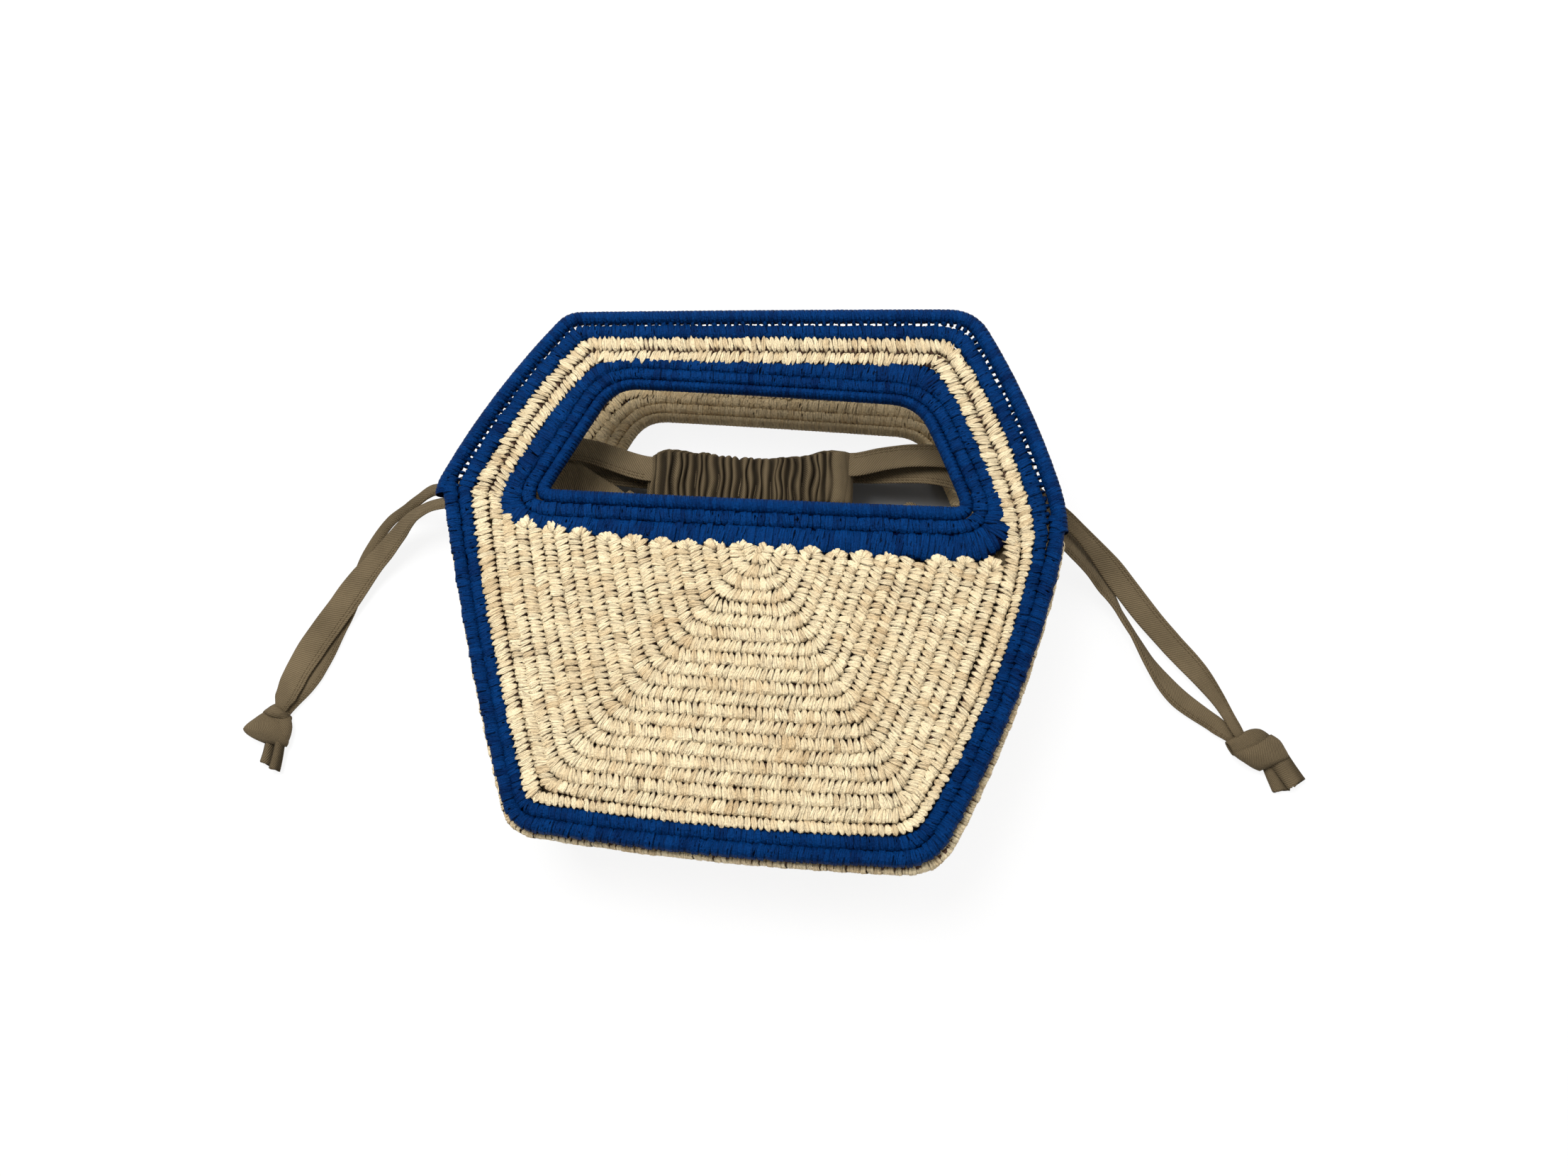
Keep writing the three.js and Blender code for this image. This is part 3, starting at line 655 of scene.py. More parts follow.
strand("left", "upper", LEFT_UPPER, 1, 1,
       ((0, 1), (0.3, 1), (0.42, 0.5), (0.6, 0.45), (0.72, 0.6), (0.8, 0.78), (0.92, 0.72),
        (0.98, 0.4), (1, 0.35)))
strand("left", "lower", LEFT_LOWER, 1, 2,
       ((0, 1), (0.55, 1), (0.64, 0.97), (0.74, 1.2), (0.86, 1.24), (0.93, 1.1), (0.96, 0.95),
        (0.985, 0.55), (1, 0.4)))
strand("right", "upper", RIGHT_UPPER, 1, 3,
       ((0, 1), (0.4, 0.85), (0.5, 0.62), (0.64, 0.95), (0.82, 0.9), (0.97, 0.42), (1, 0.35)))
strand("right", "lower", RIGHT_LOWER, -1, 4,
       ((0, 1), (0.5, 1), (0.6, 1), (0.69, 0.55), (0.76, 0.62), (0.86, 0.8), (0.95, 0.66),
        (1, 0.4)))

# ---------------------------------------------------------------------------------------
# The part of each drawstring that runs round inside the collar, the same folded tape. The
# left one goes round outside the right one.
COLLAR_TURN = Matrix.Rotation(math.radians(2.5), 3, "Z")
COLLAR_MIDDLE = Vector((-4, 57, 26))
COLLAR_HALF = 56  # its half length, to its ends outside
COLLAR_WALL = 1.5
LOOP_GAP = 0.4
SAG, SAG_MIDDLE, SAG_REACH = 6, 5, 50  # of the loops, with the collar's upper edge


def in_collar(x, y, z):
    return COLLAR_MIDDLE + COLLAR_TURN @ Vector((x, y, z))


def loop(side, radius, middle_y, slope, direction, step, kept):
    """Out along the front, round the far end, and back along the back. The tape is folded
    to the width kept, but for a step at its ends, where it goes on as the strands."""
    near = 42  # where the strands take over, on both sides of the collar's middle
    far = COLLAR_HALF - COLLAR_WALL - LOOP_GAP - radius - TAPE_THICKNESS / 2
    path = [(-near + (far + near) * i / 8, radius) for i in range(8)]
    back = [(x, -radius) for x, _ in reversed(path)]
    for t in [math.pi * i / 10 for i in range(11)]:
        path.append((far + radius * math.sin(t), radius * math.cos(t)))
    path += back
    frames = []
    for i, (x, z) in enumerate(path):
        before, after = beside(path, i)
        along = Vector((after[0] - before[0], 0, after[1] - before[1])).normalized()
        up = Vector((-along.z, 0, along.x))
        x *= direction
        along.x *= direction
        up.x *= direction
        sag = SAG * max(0, 1 - ((x - SAG_MIDDLE) / SAG_REACH) ** 2)
        frames.append((in_collar(x, middle_y + slope * x - sag, z), COLLAR_TURN @ along,
                       COLLAR_TURN @ along.cross(up), COLLAR_TURN @ up))
    name = f"{side}_drawstring_loop_tape"
    folds = ((0, 1), (step, kept), (1 - step, kept), (1, 1))
    dress(name, tape(name, frames, 7, 1, folds), f"{side}_drawstring", f"{side}_drawstring_loop")


loop("left", 7, -2.8, -0.1145, 1, 0.12, 0.8)
loop("right", 5.2, 6, 0, -1, 0.05, 0.88)

# ---------------------------------------------------------------------------------------
# The knots and tails: both ends of a drawstring tied together in one overhand knot, whose
# two wraps of tape lie slanting over each other, with the two cut ends hanging below it.

# Which way a knot's twill slants, and how much finer it is than on the strands.
KNOT_TWILL = {"left": (1, 1.15), "right": (-1, 1.5)}
WRAP_LOW = 0.3  # how far the wraps' undersides are off the table
WRAP_SIDES = 28
SQUARISH = 2.6  # the power in the section of a wrap: 2 would be an oval


def wrap(name, edges, heights, seed, *replaced):
    """A band of tape wrapped round the knot. edges are its (left, right) ends seen from
    above, from its upper edge to its lower edge, and heights how high it stands there."""
    side = name.split("_")[0]
    hand, fine = KNOT_TWILL[side]
    shift = random.Random(seed).uniform(0, 6)
    lefts, rights = (smooth_run([(*pair[k], high) for pair, high in zip(edges, heights)], 5)
                     for k in (0, 1))
    rings = []
    for i, ((left, _), (right, _)) in enumerate(zip(lefts, rights)):
        share = i / (len(lefts) - 1)
        middle, half_wide = (left + right) / 2, (right - left) / 2
        high = middle.z
        thin = max(0, abs(2 * share - 1) - 0.75)  # towards its two edges
        half_high = (high - WRAP_LOW) / 2 * (1 - thin)
        ring = []
        for turn in angles(WRAP_SIDES):
            x, z = math.cos(turn), math.sin(turn)
            flat = (abs(x) ** SQUARISH + abs(z) ** SQUARISH) ** (-1 / SQUARISH)
            fold = (1 + 0.05 * math.sin(3 * turn + shift + 4 * share)
                    + 0.03 * math.sin(7 * turn - 5 * share))
            spot = middle + half_wide * (x * flat * (0.97 + 0.03 * fold))
            spot.z = (high + WRAP_LOW) / 2 + half_high * z * flat * fold
            ring.append(spot)
        rings.append(ring)
    along = [fine * reach for reach in reaches([ring[7] for ring in rings])]
    across = [hand * fine * reach for reach in reaches(rings[len(rings) // 2], True)]
    mesh = skin(name, rings, along, across, ends="open")
    thicken(dress(name, mesh, f"{side}_drawstring", *replaced), 1.2)


def thicken(made, thickness, offset=-1.0):
    """Gives a sheet its thickness as real geometry."""
    wall = made.modifiers.new("thickness", "SOLIDIFY")
    wall.thickness = thickness * mm
    wall.offset = offset
    mesh, old = realized(made), made.data
    made.modifiers.clear()
    made.data = mesh
    mesh.name = old.name
    bpy.data.meshes.remove(old)


def tail(name, near, far, low, crease, replaced):
    """A cut end of tape: near and far are its edges' (left, right) places seen from above.
    It keeps a fold from the knot, and its far end is cut a little unevenly."""
    side = name.split("_")[0]
    draw = random.Random(name)
    (near_left, near_right), (far_left, far_right) = map(Vector, near), map(Vector, far)
    run = far_left - near_left
    steps = 12
    rings, along, painted_shading = [], [], []
    for i in range(steps + 1):
        share = i / steps
        left, right = near_left.lerp(far_left, share), near_right.lerp(far_right, share)
        lift = low + TAPE_THICKNESS / 2 + (1 - share) ** 2 * 1.6
        ring = []
        for x, y in SECTION:
            spot = left.lerp(right, (x + HALF_TAPE) / TAPE_WIDTH)
            ridge = math.cos(x / HALF_TAPE * math.pi + 0.9 * share) * 0.5 + 0.5
            # Painted shade in the valleys of its folds, on its upper face.
            painted_shading.append((1 - ridge) ** 3 * min(crease / 2, 1) * (y > 0) * 0.8)
            if i == steps:
                spot += run.normalized() * draw.uniform(-0.7, 0.5)
            ring.append(Vector((*spot, lift + y + crease * ridge)))
        rings.append(ring)
        along.append(share * run.length)
    across = [KNOT_TWILL[side][0] * reach for reach in reaches(SECTION, True)]
    mesh = skin(name, rings, along, across)
    mark(mesh, "crease", painted_shading)
    dress(name, mesh, f"{side}_drawstring", replaced)


wrap("left_knot_under_wrap",
     [((-270.5, -85.5), (-257.5, -82)), ((-271.5, -88.5), (-254.5, -86.5)),
      ((-270.5, -93), (-252.5, -91.5)), ((-268, -99), (-252.8, -98)),
      ((-264, -101.8), (-254.5, -101.3))],
     [6.0, 7.6, 8.2, 7.8, 6.0], 11, "left_knot")
wrap("left_knot_face",
     [((-270, -84.0), (-255.4, -88.6)), ((-274.6, -88.4), (-254.6, -91.8)),
      ((-280, -94.6), (-253.4, -96)), ((-274.6, -98.8), (-252.8, -100.2)),
      ((-267.4, -101.4), (-254, -102.6))],
     [7.6, 9.0, 9.2, 8.0, 5.6], 12)
wrap("left_knot_collar",
     [((-271.2, -85), (-264.8, -79.2)), ((-265.6, -87.2), (-259.6, -81.6)),
      ((-260.2, -88), (-256.2, -84.2)), ((-255, -88.8), (-254.9, -85.2))],
     [6.5, 9.8, 9.8, 6.5], 13)
tail("left_tail_folded", ((-267.2, -99.5), (-261, -100.5)),
     ((-268.6, -111), (-260.5, -114.2)), 0.2, 3, "left_tail_1")
tail("left_tail_flat", ((-260.6, -100.5), (-254.4, -100.5)),
     ((-261.6, -114.6), (-254.8, -116.4)), 2.2, 2.4, "left_tail_2")

wrap("right_knot_upper_wrap",
     [((248.6, -67.9), (252.4, -74.6)), ((253.5, -64.8), (257, -75.5)),
      ((260.2, -61), (262, -73)), ((265, -60.4), (266.5, -69)), ((270, -62.8), (270, -66))],
     [6.4, 8.0, 8.8, 8.2, 6.0], 14, "right_knot")
wrap("right_knot_face",
     [((252, -73.4), (270.8, -62.8)), ((253.2, -75.3), (274.6, -65.6)),
      ((257.4, -78), (277, -69.4)), ((261.8, -80.5), (279, -73.6)),
      ((265.2, -81.6), (277.4, -75.8))],
     [8.2, 9.4, 9.2, 8.0, 5.8], 15)
tail("right_tail_flat", ((265.8, -77.6), (274, -77)),
     ((271.6, -91.6), (280.5, -90)), 0.2, 0.6, "right_tail_1")
tail("right_tail_wide", ((268.6, -76.4), (278.4, -71.6)),
     ((279, -90.3), (286.9, -83.8)), 2.4, 0.8, "right_tail_2")

# ---------------------------------------------------------------------------------------
# The front panel's body: coiled raffia. One long coil runs back and forth in nested rows
# round the point under the handle, and each row is sewn into the last with split raffia.
# Two more rows go on round the handle.
# A corner is x, y, how far the side after it bows out, and where its rounding starts.
OUTLINE = [
    (-106, 133.5, 0.4, 6.8), (112.5, 139.6, 4.7, 12.9), (161.7, 25.9, 7.5, 20),
    (103.3, -144.9, 3.3, 14.6), (-98.7, -141.2, 2.8, 11.5), (-162.2, 33, 4.4, 8),
]
TOP, UPPER_RIGHT, LOWER_RIGHT, BOTTOM, LOWER_LEFT, UPPER_LEFT = range(6)
OPENING = [(-74, 90.2, 0.5, 13), (84.5, 84.7, 0.8, 13), (109.5, 30.6, 0.6, 4),
           (-102.3, 31.9, 0.3, 3)]
ROWS = 23  # from the point under the handle to the panel's edge
ROW_PITCH = {LOWER_RIGHT: 5.84, BOTTOM: 6.28, LOWER_LEFT: 6.53}
NESTED_ROWS = 19  # those that end at the handle's bar
LEAN = Vector((1.5, 9.1))  # how far the back panel lies over from the front one
SLACK, TUCK = 0.6, 0.9  # of a filling row: left open at most, and under its neighbours
TURN_SPREAD, TURN_LEAN = 1.5, 2.2  # of the stitches on a turn, which fan out
CORNER_CUT = 8.5  # how far from a corner the nested rows start to round it
CUT_MOST = 0.45  # but no more than this share of the side
CORNER_WIDTH = 1.06  # how many times wider they are there
POINT_STEP = 6  # about how far apart their points are
CORNER_STEPS, SIDE_STEPS = 6, 12  # between the points of a row round a shape
BOTTOM_START, BOTTOM_RUN = -99, 202  # the lower edge along x
DRAWN_IN = 7  # how far in the left side is drawn at its upper end
STITCH_PITCH = 3.1


def crossed(a, b):
    return a.x * b.y - a.y * b.x


def both_ends(inset):
    """An inset is one number, or a pair of them for its side's two ends."""
    return inset if isinstance(inset, tuple) else (inset, inset)


def side_lines(shape, insets):
    """Each side's straight line after it is moved in: a point, its direction and inwards."""
    lines = []
    for i, (x, y, _, _) in enumerate(shape):
        start, end = Vector((x, y)), Vector(shape[(i + 1) % len(shape)][:2])
        along = (end - start).normalized()
        inward = Vector((along.y, -along.x))
        near, far = both_ends(insets[i])
        start, end = start + inward * near, end + inward * far
        along = (end - start).normalized()
        lines.append((start, along, Vector((along.y, -along.x))))
    return lines


def meeting(one, other):
    reach = crossed(other[0] - one[0], other[1]) / crossed(one[1], other[1])
    return one[0] + one[1] * reach


def bend(a, corner, b, t):
    """A point of the curve that rounds a corner from a to b."""
    return a.lerp(corner, t).lerp(corner.lerp(b, t), t)


def ring_row(shape, insets, widths, ease=0.33):
    """A closed row round a shape: (x, y, width) of its middle, clockwise, and each side's
    first point. ease is how fast the corners' rounding shrinks inwards. Without it, the
    rows keep their distance round the corners."""
    count = len(shape)
    lines = side_lines(shape, insets)
    corners = [meeting(lines[i - 1], lines[i]) for i in range(count)]
    row, starts = [], []

    def on_side(i, distance):
        _, along, inward = lines[i]
        share = distance / (corners[(i + 1) % count] - corners[i]).length
        return corners[i] + along * distance - inward * (-4 * shape[i][2] * share * (share - 1))

    def rounding(i):
        shrink = ease or math.tan(lines[i - 1][1].angle(lines[i][1]) / 2)
        return max(shape[i][3] - both_ends(insets[i])[0] * shrink, 2)

    for i in range(count):
        before = (i - 1) % count
        cut = rounding(i)
        a = on_side(before, (corners[i] - corners[before]).length - cut)
        b = on_side(i, cut)
        starts.append(len(row) + CORNER_STEPS // 2)
        for t in [step / CORNER_STEPS for step in range(CORNER_STEPS + 1)]:
            spot = bend(a, corners[i], b, t)
            row.append((*spot, widths[before] + (widths[i] - widths[before]) * t))
        end = (corners[(i + 1) % count] - corners[i]).length - rounding((i + 1) % count)
        for step in range(1, SIDE_STEPS):
            row.append((*on_side(i, cut + (end - cut) * step / SIDE_STEPS), widths[i]))
    return row, starts


def filling_row(inner, walls, least, most):
    """A closed row that fills the way from an inner row's outer edge to the walls."""
    count = len(inner)
    spots, gaps = [], []
    for i, (x, y, width) in enumerate(inner):
        before, after = (Vector(point[:2]) for point in beside(inner, i, True))
        along = (after - before).normalized()
        out = Vector((-along.y, along.x))
        spot = Vector((x, y)) + out * width / 2
        gap = most
        for start, end in walls:
            run = end - start
            slope = crossed(out, run)
            if abs(slope) > 1e-6:
                reach = crossed(start - spot, run) / slope
                if reach > 0 and 0 <= crossed(start - spot, out) / slope <= 1:
                    gap = min(gap, reach)
        spots.append((spot, out))
        gaps.append(max(gap, least))
    row = []
    for i, (spot, out) in enumerate(spots):
        evened = sum(gaps[(i + step) % count] for step in range(-2, 3)) / 5
        gap = max(evened, gaps[i] - SLACK)
        row.append((*(spot + out * gap / 2), gap + TUCK))
    return row


def run_of(row_and_starts, first, last):
    """The open part of a ring row from the start of one side to the end of another."""
    row, starts = row_and_starts
    begin, end = starts[first], starts[(last + 1) % len(starts)]
    if end <= begin:
        end += len(row)
    return [row[i % len(row)] for i in range(begin, end + 1)]


def inset_of(row):
    """How far in the middle of a nested row lies from each side."""
    return {side: (ROWS - row + 0.5) * pitch for side, pitch in ROW_PITCH.items()}


# How high the middle of the nested rows' turns is, under the handle's bar.
TURNS = [(-150, 19), (-122, 11.4), (-108, 8.7), (-80, 5.4), (-67, 3.9), (-41, 1.9), (0, 2.6),
         (38, 1.3), (55, 0.4), (150, 0)]


def turn_point(side, boundary):
    """The middle of the turn between two rows, on the line between them."""
    inset = (ROWS - boundary) * ROW_PITCH[side]
    start, along, _ = side_lines(OUTLINE, [inset] * 6)[side]
    point = start
    for _ in range(4):
        point = start + along * ((height_at(TURNS, point.x) - start.y) / along.y)
    return point


def bow_at(side, point, row):
    """How far a nested row bows out at a point on its side."""
    low, high = sorted((OUTLINE[side][1], OUTLINE[side + 1][1]))
    if side == BOTTOM:
        share = ramp(point.x, BOTTOM_START, BOTTOM_RUN)
    else:
        share = ramp(point.y, low, high - low)
    drawn_in = DRAWN_IN * share ** 4 if side == LOWER_LEFT else 0
    return (4 * OUTLINE[side][2] * share * (1 - share) - drawn_in) * row / ROWS


def nested_row(row):
    """A row's middle, from the top of its right leg down, along and up its left leg."""
    insets = inset_of(row)
    lines = side_lines(OUTLINE, [insets.get(side, 0) for side in range(6)])
    sides = (LOWER_RIGHT, BOTTOM, LOWER_LEFT)
    ends = []
    for side, odd in ((LOWER_RIGHT, 0), (LOWER_LEFT, 1)):
        start, along, _ = lines[side]
        turn = turn_point(side, row if row % 2 == odd else row - 1)
        ends.append(start + along * (turn - start).dot(along))
    anchors = [ends[0], meeting(lines[LOWER_RIGHT], lines[BOTTOM]),
               meeting(lines[BOTTOM], lines[LOWER_LEFT]), ends[1]]
    points = []
    for i, side in enumerate(sides):
        a, b = anchors[i], anchors[i + 1]
        length = (b - a).length
        cut = min(CORNER_CUT, length * CUT_MOST)
        cut_a, cut_b = cut * (i > 0), cut * (i < 2)
        steps = max(2, int((length - cut_a - cut_b) / POINT_STEP))
        for step in range(steps + 1):
            spot = a.lerp(b, (cut_a + (length - cut_a - cut_b) * step / steps) / length)
            points.append([spot, side, ROW_PITCH[side]])
        if i < 2:
            share = min(CUT_MOST, CORNER_CUT / max((anchors[i + 2] - b).length, 1))
            after = b.lerp(anchors[i + 2], share)
            for t, nearest in ((0.25, side), (0.5, side), (0.75, sides[i + 1])):
                points.append([bend(spot, b, after, t), nearest, ROW_PITCH[side] * CORNER_WIDTH])
    return [(*(spot - lines[side][2] * bow_at(side, spot, row)), width)
            for spot, side, width in points]


def turn_back(a, b, rise, steps):
    """A round turn from a to b: points straight across, and how far out each one goes."""
    for step in range(1, steps):
        t = math.pi * step / steps
        yield (a + b) / 2 - (b - a) / 2 * math.cos(t), rise * math.sin(t)


def serpentine(first, last):
    """The long coil of the nested rows, or of some: (x, y, width, flip, lean, spread)."""
    path = []
    draw = random.Random(first)
    for row in range(first, last + 1):
        points = nested_row(row)
        if row == 1:  # the coil's start, curled over the point
            start = Vector(points[0][:2])
            up = (start - Vector(points[1][:2])).normalized()
            for rise, over in ((1.5, 5), (3.2, 3.6), (3.6, 1.6), (2, 0.3)):
                spot = start + up * rise + Vector((-1, 0)) * over
                lean = draw.uniform(-TURN_LEAN, TURN_LEAN)
                path.append((*spot, points[0][2], 0.0, lean, TURN_SPREAD))
        back = row % 2 == 0
        if back:
            points.reverse()
        if path and row > 1:
            a, b = Vector(path[-1][:2]), Vector(points[0][:2])
            width = path[-1][2]
            rise = Vector((a.y - b.y, b.x - a.x)) / 2
            if rise.y < 0:
                rise = -rise
            for spot, out in turn_back(a, b, rise, 8):
                spot += out * draw.uniform(0.85, 1.1)
                lean = draw.uniform(-TURN_LEAN, TURN_LEAN)
                path.append((*spot, width, float(back), lean, TURN_SPREAD))
        path += [(*point, float(back), -1.0 if back else 1.0, 1.0) for point in points]
    return path


def level(row, z, flip=0.0, lean=1.0, closed=True, offset=Vector((0, 0))):
    """Lays a flat row at a height, facing up."""
    return [(Vector((x + offset.x, y + offset.y, z)), UP, width, *(rest or (flip, lean, 1.0)))
            for x, y, width, *rest in row], closed


def core(name, rows, wide, high):
    """The coiled cores inside rows of stitches, one closed tube each."""
    vertices, faces = [], []
    count = 8
    for row, closed in rows:
        first = len(vertices)
        for i, (middle, facing, width, *_) in enumerate(row):
            before, after = beside(row, i, closed)
            along = (after[0] - before[0]).normalized()
            across = facing.cross(along).normalized()
            for t in angles(count, 0.5):
                vertices.append(middle + across * (math.cos(t) * width * wide / 2)
                                + facing * (math.sin(t) * high / 2))
        faces += [[first + k for k in face] for *_, face in bands(len(row), count, closed)]
        if not closed:
            faces.append(range(first + count - 1, first - 1, -1))
            faces.append(range(len(vertices) - count, len(vertices)))
    return bpy.data.objects.new(name, tidy(new_mesh(name, vertices, faces)))


def raffia_finish(name, pale, deep, hollow_shade, gloss, shine):
    """Dyed or bare raffia: flat strips with fine lengthwise fibres, each a little lighter
    or darker, with painted shade where one goes down between its neighbours, in the fibres'
    creases and over the rows' cores."""
    material, graph, shader = new_finish(name)
    parts = graph.apart(graph.node("ShaderNodeUVMap", uv_map="strand"))
    tone = graph.attribute("tone")
    depth = graph.attribute("depth")
    spot = graph.place_on_object()
    stretched = graph.node("ShaderNodeCombineXYZ", {
        "X": parts * 7.0, "Y": parts.output("Y") * 2.2, "Z": tone * 37.0})
    fibre = graph.noise(stretched, 1.6, 3.0, 0.6)
    fold = graph.noise(stretched, 0.42, 0.0)
    crease = (1 - (fold - 0.5).maths("ABSOLUTE") * 16).maths("MAXIMUM", 0.0)
    patch = graph.noise(spot, 26.0, 2.0)
    drift = graph.noise(spot, 140.0, 1.0)
    crumple = graph.noise(spot, 800.0, 2.0)
    age = (tone ** 2.0) * 0.5 + patch * 0.9 + drift * 0.7 + fibre * 1.1 - 1.3
    # Painted shade: from the stitches' marks and the fibres' creases, towards the hollow colour.
    shadow = (depth * 0.34 + crease * 0.3).maths("MINIMUM", 0.97)
    graph.feed(shader, {
        "Base Color": graph.mix(shadow, graph.mix(age, pale, deep), hollow_shade),
        "Normal": graph.bump(fibre - crease * 0.3 + crumple * 1.1, 1.0, 0.001),
        "Roughness": fibre * 0.2 + gloss,
        "Specular IOR Level": shine})
    return material


HOLLOW_SHADE = (0.06, 0.02, 0.012, 1)  # painted shade between the strips of bare raffia
NATURAL = raffia_finish("bare_raffia", (0.94, 0.78, 0.50, 1), (0.58, 0.39, 0.19, 1), HOLLOW_SHADE,
                        0.5, 0.3)

# Stitches: a leaf that is narrow where it goes down into the row before, and widest near
# its other end. The same with a long point, for the rows beside a blue one.
LEAF = [
    (-0.72, 0.2, 0.4), (-0.58, 0.38, 0.58), (-0.38, 0.46, 0.88), (-0.14, 0.5, 1.1),
    (0.12, 0.51, 1.2), (0.36, 0.47, 1.2), (0.54, 0.26, 1.1), (0.42, -0.36, 0.8),
    (0.12, -0.5, 1.0), (-0.2, -0.49, 0.95), (-0.46, -0.32, 0.4)]
TURNED = [
    (-0.52, 0.2, 0.4), (-0.42, 0.39, 0.55), (-0.18, 0.49, 0.78), (0.12, 0.51, 1.02),
    (0.38, 0.42, 1.02), (0.60, 0.16, 0.6), (0.42, -0.38, 0.8), (0.12, -0.5, 1.0),
    (-0.2, -0.49, 0.95), (-0.46, -0.32, 0.5)]
SPIKE = [
    (-0.58, 0.16, 0.36), (-0.46, 0.37, 0.64), (-0.26, 0.48, 1.04), (0.06, 0.52, 1.2),
    (0.32, 0.5, 1.1), (0.46, 0.47, 0.76), (0.62, 0.40, 0.14), (0.42, -0.36, 0.66),
    (0.12, -0.5, 1.0), (-0.2, -0.49, 0.95), (-0.46, -0.32, 0.5)]
CREASED = [(-0.53, -0.05, 0.55), (-0.40, 0.01, 0.05), (-0.2, 0.03, 0.0), (-0.04, -0.01, 0.35),
           (0.12, 0.03, 0.0), (0.36, 0.005, 0.05), (0.53, -0.045, 0.5)]
LEAVES = stitch_shapes("leaf", [LEAF, TURNED], CREASED, 21, 0.05)
SPIKES = stitch_shapes("spike", [SPIKE], CREASED, 22, 0.055)

PANEL_TOP = 69.6
FLAT_ROW = 5.8  # how thick the flat rows are, over their stitches
FRONT_Z = PANEL_TOP - FLAT_ROW / 2 - 0.2
# The two rows' insets at the top, the right and the left.
HANDLE_ROWS = [((19.9, 22.1), 21.4, (23.4, 22)), ((27.2, 29.6), 28.7, (31, 29.2))]
HANDLE_PITCH = 7.4
INNER_ROUND, OUTER_ROUND = NESTED_ROWS + 1, NESTED_ROWS + 2
SIDE_MOVES = {LOWER_RIGHT: 1.2, BOTTOM: 0.7, LOWER_LEFT: -1.2}  # of the body's lower edges
LEFT_CORNER_MOVES = {INNER_ROUND: 5.6, OUTER_ROUND: 4.9}  # how far in it is drawn there
RIGHT_MOVES = (-1.2, 0.8)  # the same at the lower right side's two ends
LEFT_ROUNDING = 6  # of their lower left corner


def round_rows(row):
    """One of the rows that go all the way round: its insets and widths side by side."""
    top, right, left = HANDLE_ROWS[OUTER_ROUND - row]
    low = inset_of(row)
    widths = [ROW_PITCH.get(side, HANDLE_PITCH) for side in range(6)]
    if row == OUTER_ROUND:
        for side, move in SIDE_MOVES.items():
            low[side] += move / 2
            widths[side] -= move
    low_left = low[LOWER_LEFT]
    insets = [top, right, tuple(low[LOWER_RIGHT] + move for move in RIGHT_MOVES), low[BOTTOM],
              (low_left, low_left + LEFT_CORNER_MOVES[row]), left]
    shape = list(OUTLINE)
    shape[LOWER_LEFT] = (*shape[LOWER_LEFT][:3], LEFT_ROUNDING)
    return ring_row(shape, insets, widths)


def sewn_piece(name, rows, body, slot, finish, seed, wide, thick, *replaced, **stitches):
    """Rows of stitches over cores of a share of their width, if any, and a thickness."""
    heart = core(name, rows, wide, thick) if wide else None
    mesh = sew(name, rows, finish, seed, core=heart, **stitches)
    return dress(name, mesh, body, *replaced, finish=None, slot=slot)


def natural_body(name, z, offset, seed, finish):
    """The nested rows and the two that go on round the handle, each as its stitches."""
    def coil(first, last):
        return [level(serpentine(first, last), z, closed=False, offset=offset)]

    def whole(row, first, last, flip=0.0):
        lean = 1.0 if row == OUTER_ROUND else -1.0
        return level(run_of(round_rows(row), first, last), z, flip, lean, False, offset)

    low, high = (LOWER_RIGHT, LOWER_LEFT), (UPPER_LEFT, UPPER_RIGHT)
    handle_rows = [whole(OUTER_ROUND, *high), whole(INNER_ROUND, *high, 1.0)]
    for k, (part, rows, shapes, pitch, uneven, wide) in enumerate([
            ("nested_rows", coil(1, 12), LEAVES, STITCH_PITCH, 1.0, 0.98),
            ("wide_rows", coil(13, NESTED_ROWS), LEAVES, STITCH_PITCH, 1.0, 0.98),
            ("inner_round_row", [whole(INNER_ROUND, *low)], LEAVES, STITCH_PITCH, 1.0, 0.98),
            ("outer_round_row", [whole(OUTER_ROUND, *low)], SPIKES, STITCH_PITCH, 1.0, 0.9),
            ("handle_rows", handle_rows, SPIKES, 2.5, 1.4, 1.0)]):
        sewn_piece(f"{name}_{part}", rows, name, "raffia_natural", finish, seed + k, wide,
                   FLAT_ROW * 0.7, *([] if k else [f"{name}_panel_body"]), shapes=shapes,
                   pitch=pitch, height=FLAT_ROW, slant=13, uneven=uneven, ruffle=0.8)


natural_body("front", FRONT_Z, Vector((0, 0)), 31, NATURAL)

# ---------------------------------------------------------------------------------------
# The front panel's blue rows, of dyed raffia: a thick rope over the three upper edges, the
# row inside it that goes all the way round, the rolled row along the lower edges, and the
# handle opening's rim with two more rows.
# Its third colour is the painted shade between its strips and over its cores.
BLUE = raffia_finish("blue_raffia", (0.0005, 0.034, 0.15, 1), (0.0001, 0.008, 0.05, 1),
                     (0.0001, 0.001, 0.014, 1), 0.42, 0.05)
PLUMP = [
    (-0.53, 0.02, 0.6), (-0.44, 0.34, 0.9), (-0.2, 0.48, 1.08), (0.1, 0.51, 1.12),
    (0.38, 0.40, 1.08), (0.53, 0.05, 0.8), (0.42, -0.36, 0.7), (0.12, -0.5, 1.0),
    (-0.2, -0.48, 0.95), (-0.46, -0.32, 0.7)]
PLUMPS = stitch_shapes("plump", [PLUMP], [
    (-0.6, -0.012, 0.3), (-0.32, 0.012, 0.0), (-0.08, 0.0, 0.3), (0.1, 0.014, 0.0),
    (0.28, 0.004, 0.3), (0.44, 0.014, 0.0), (0.6, -0.006, 0.2)], 23)
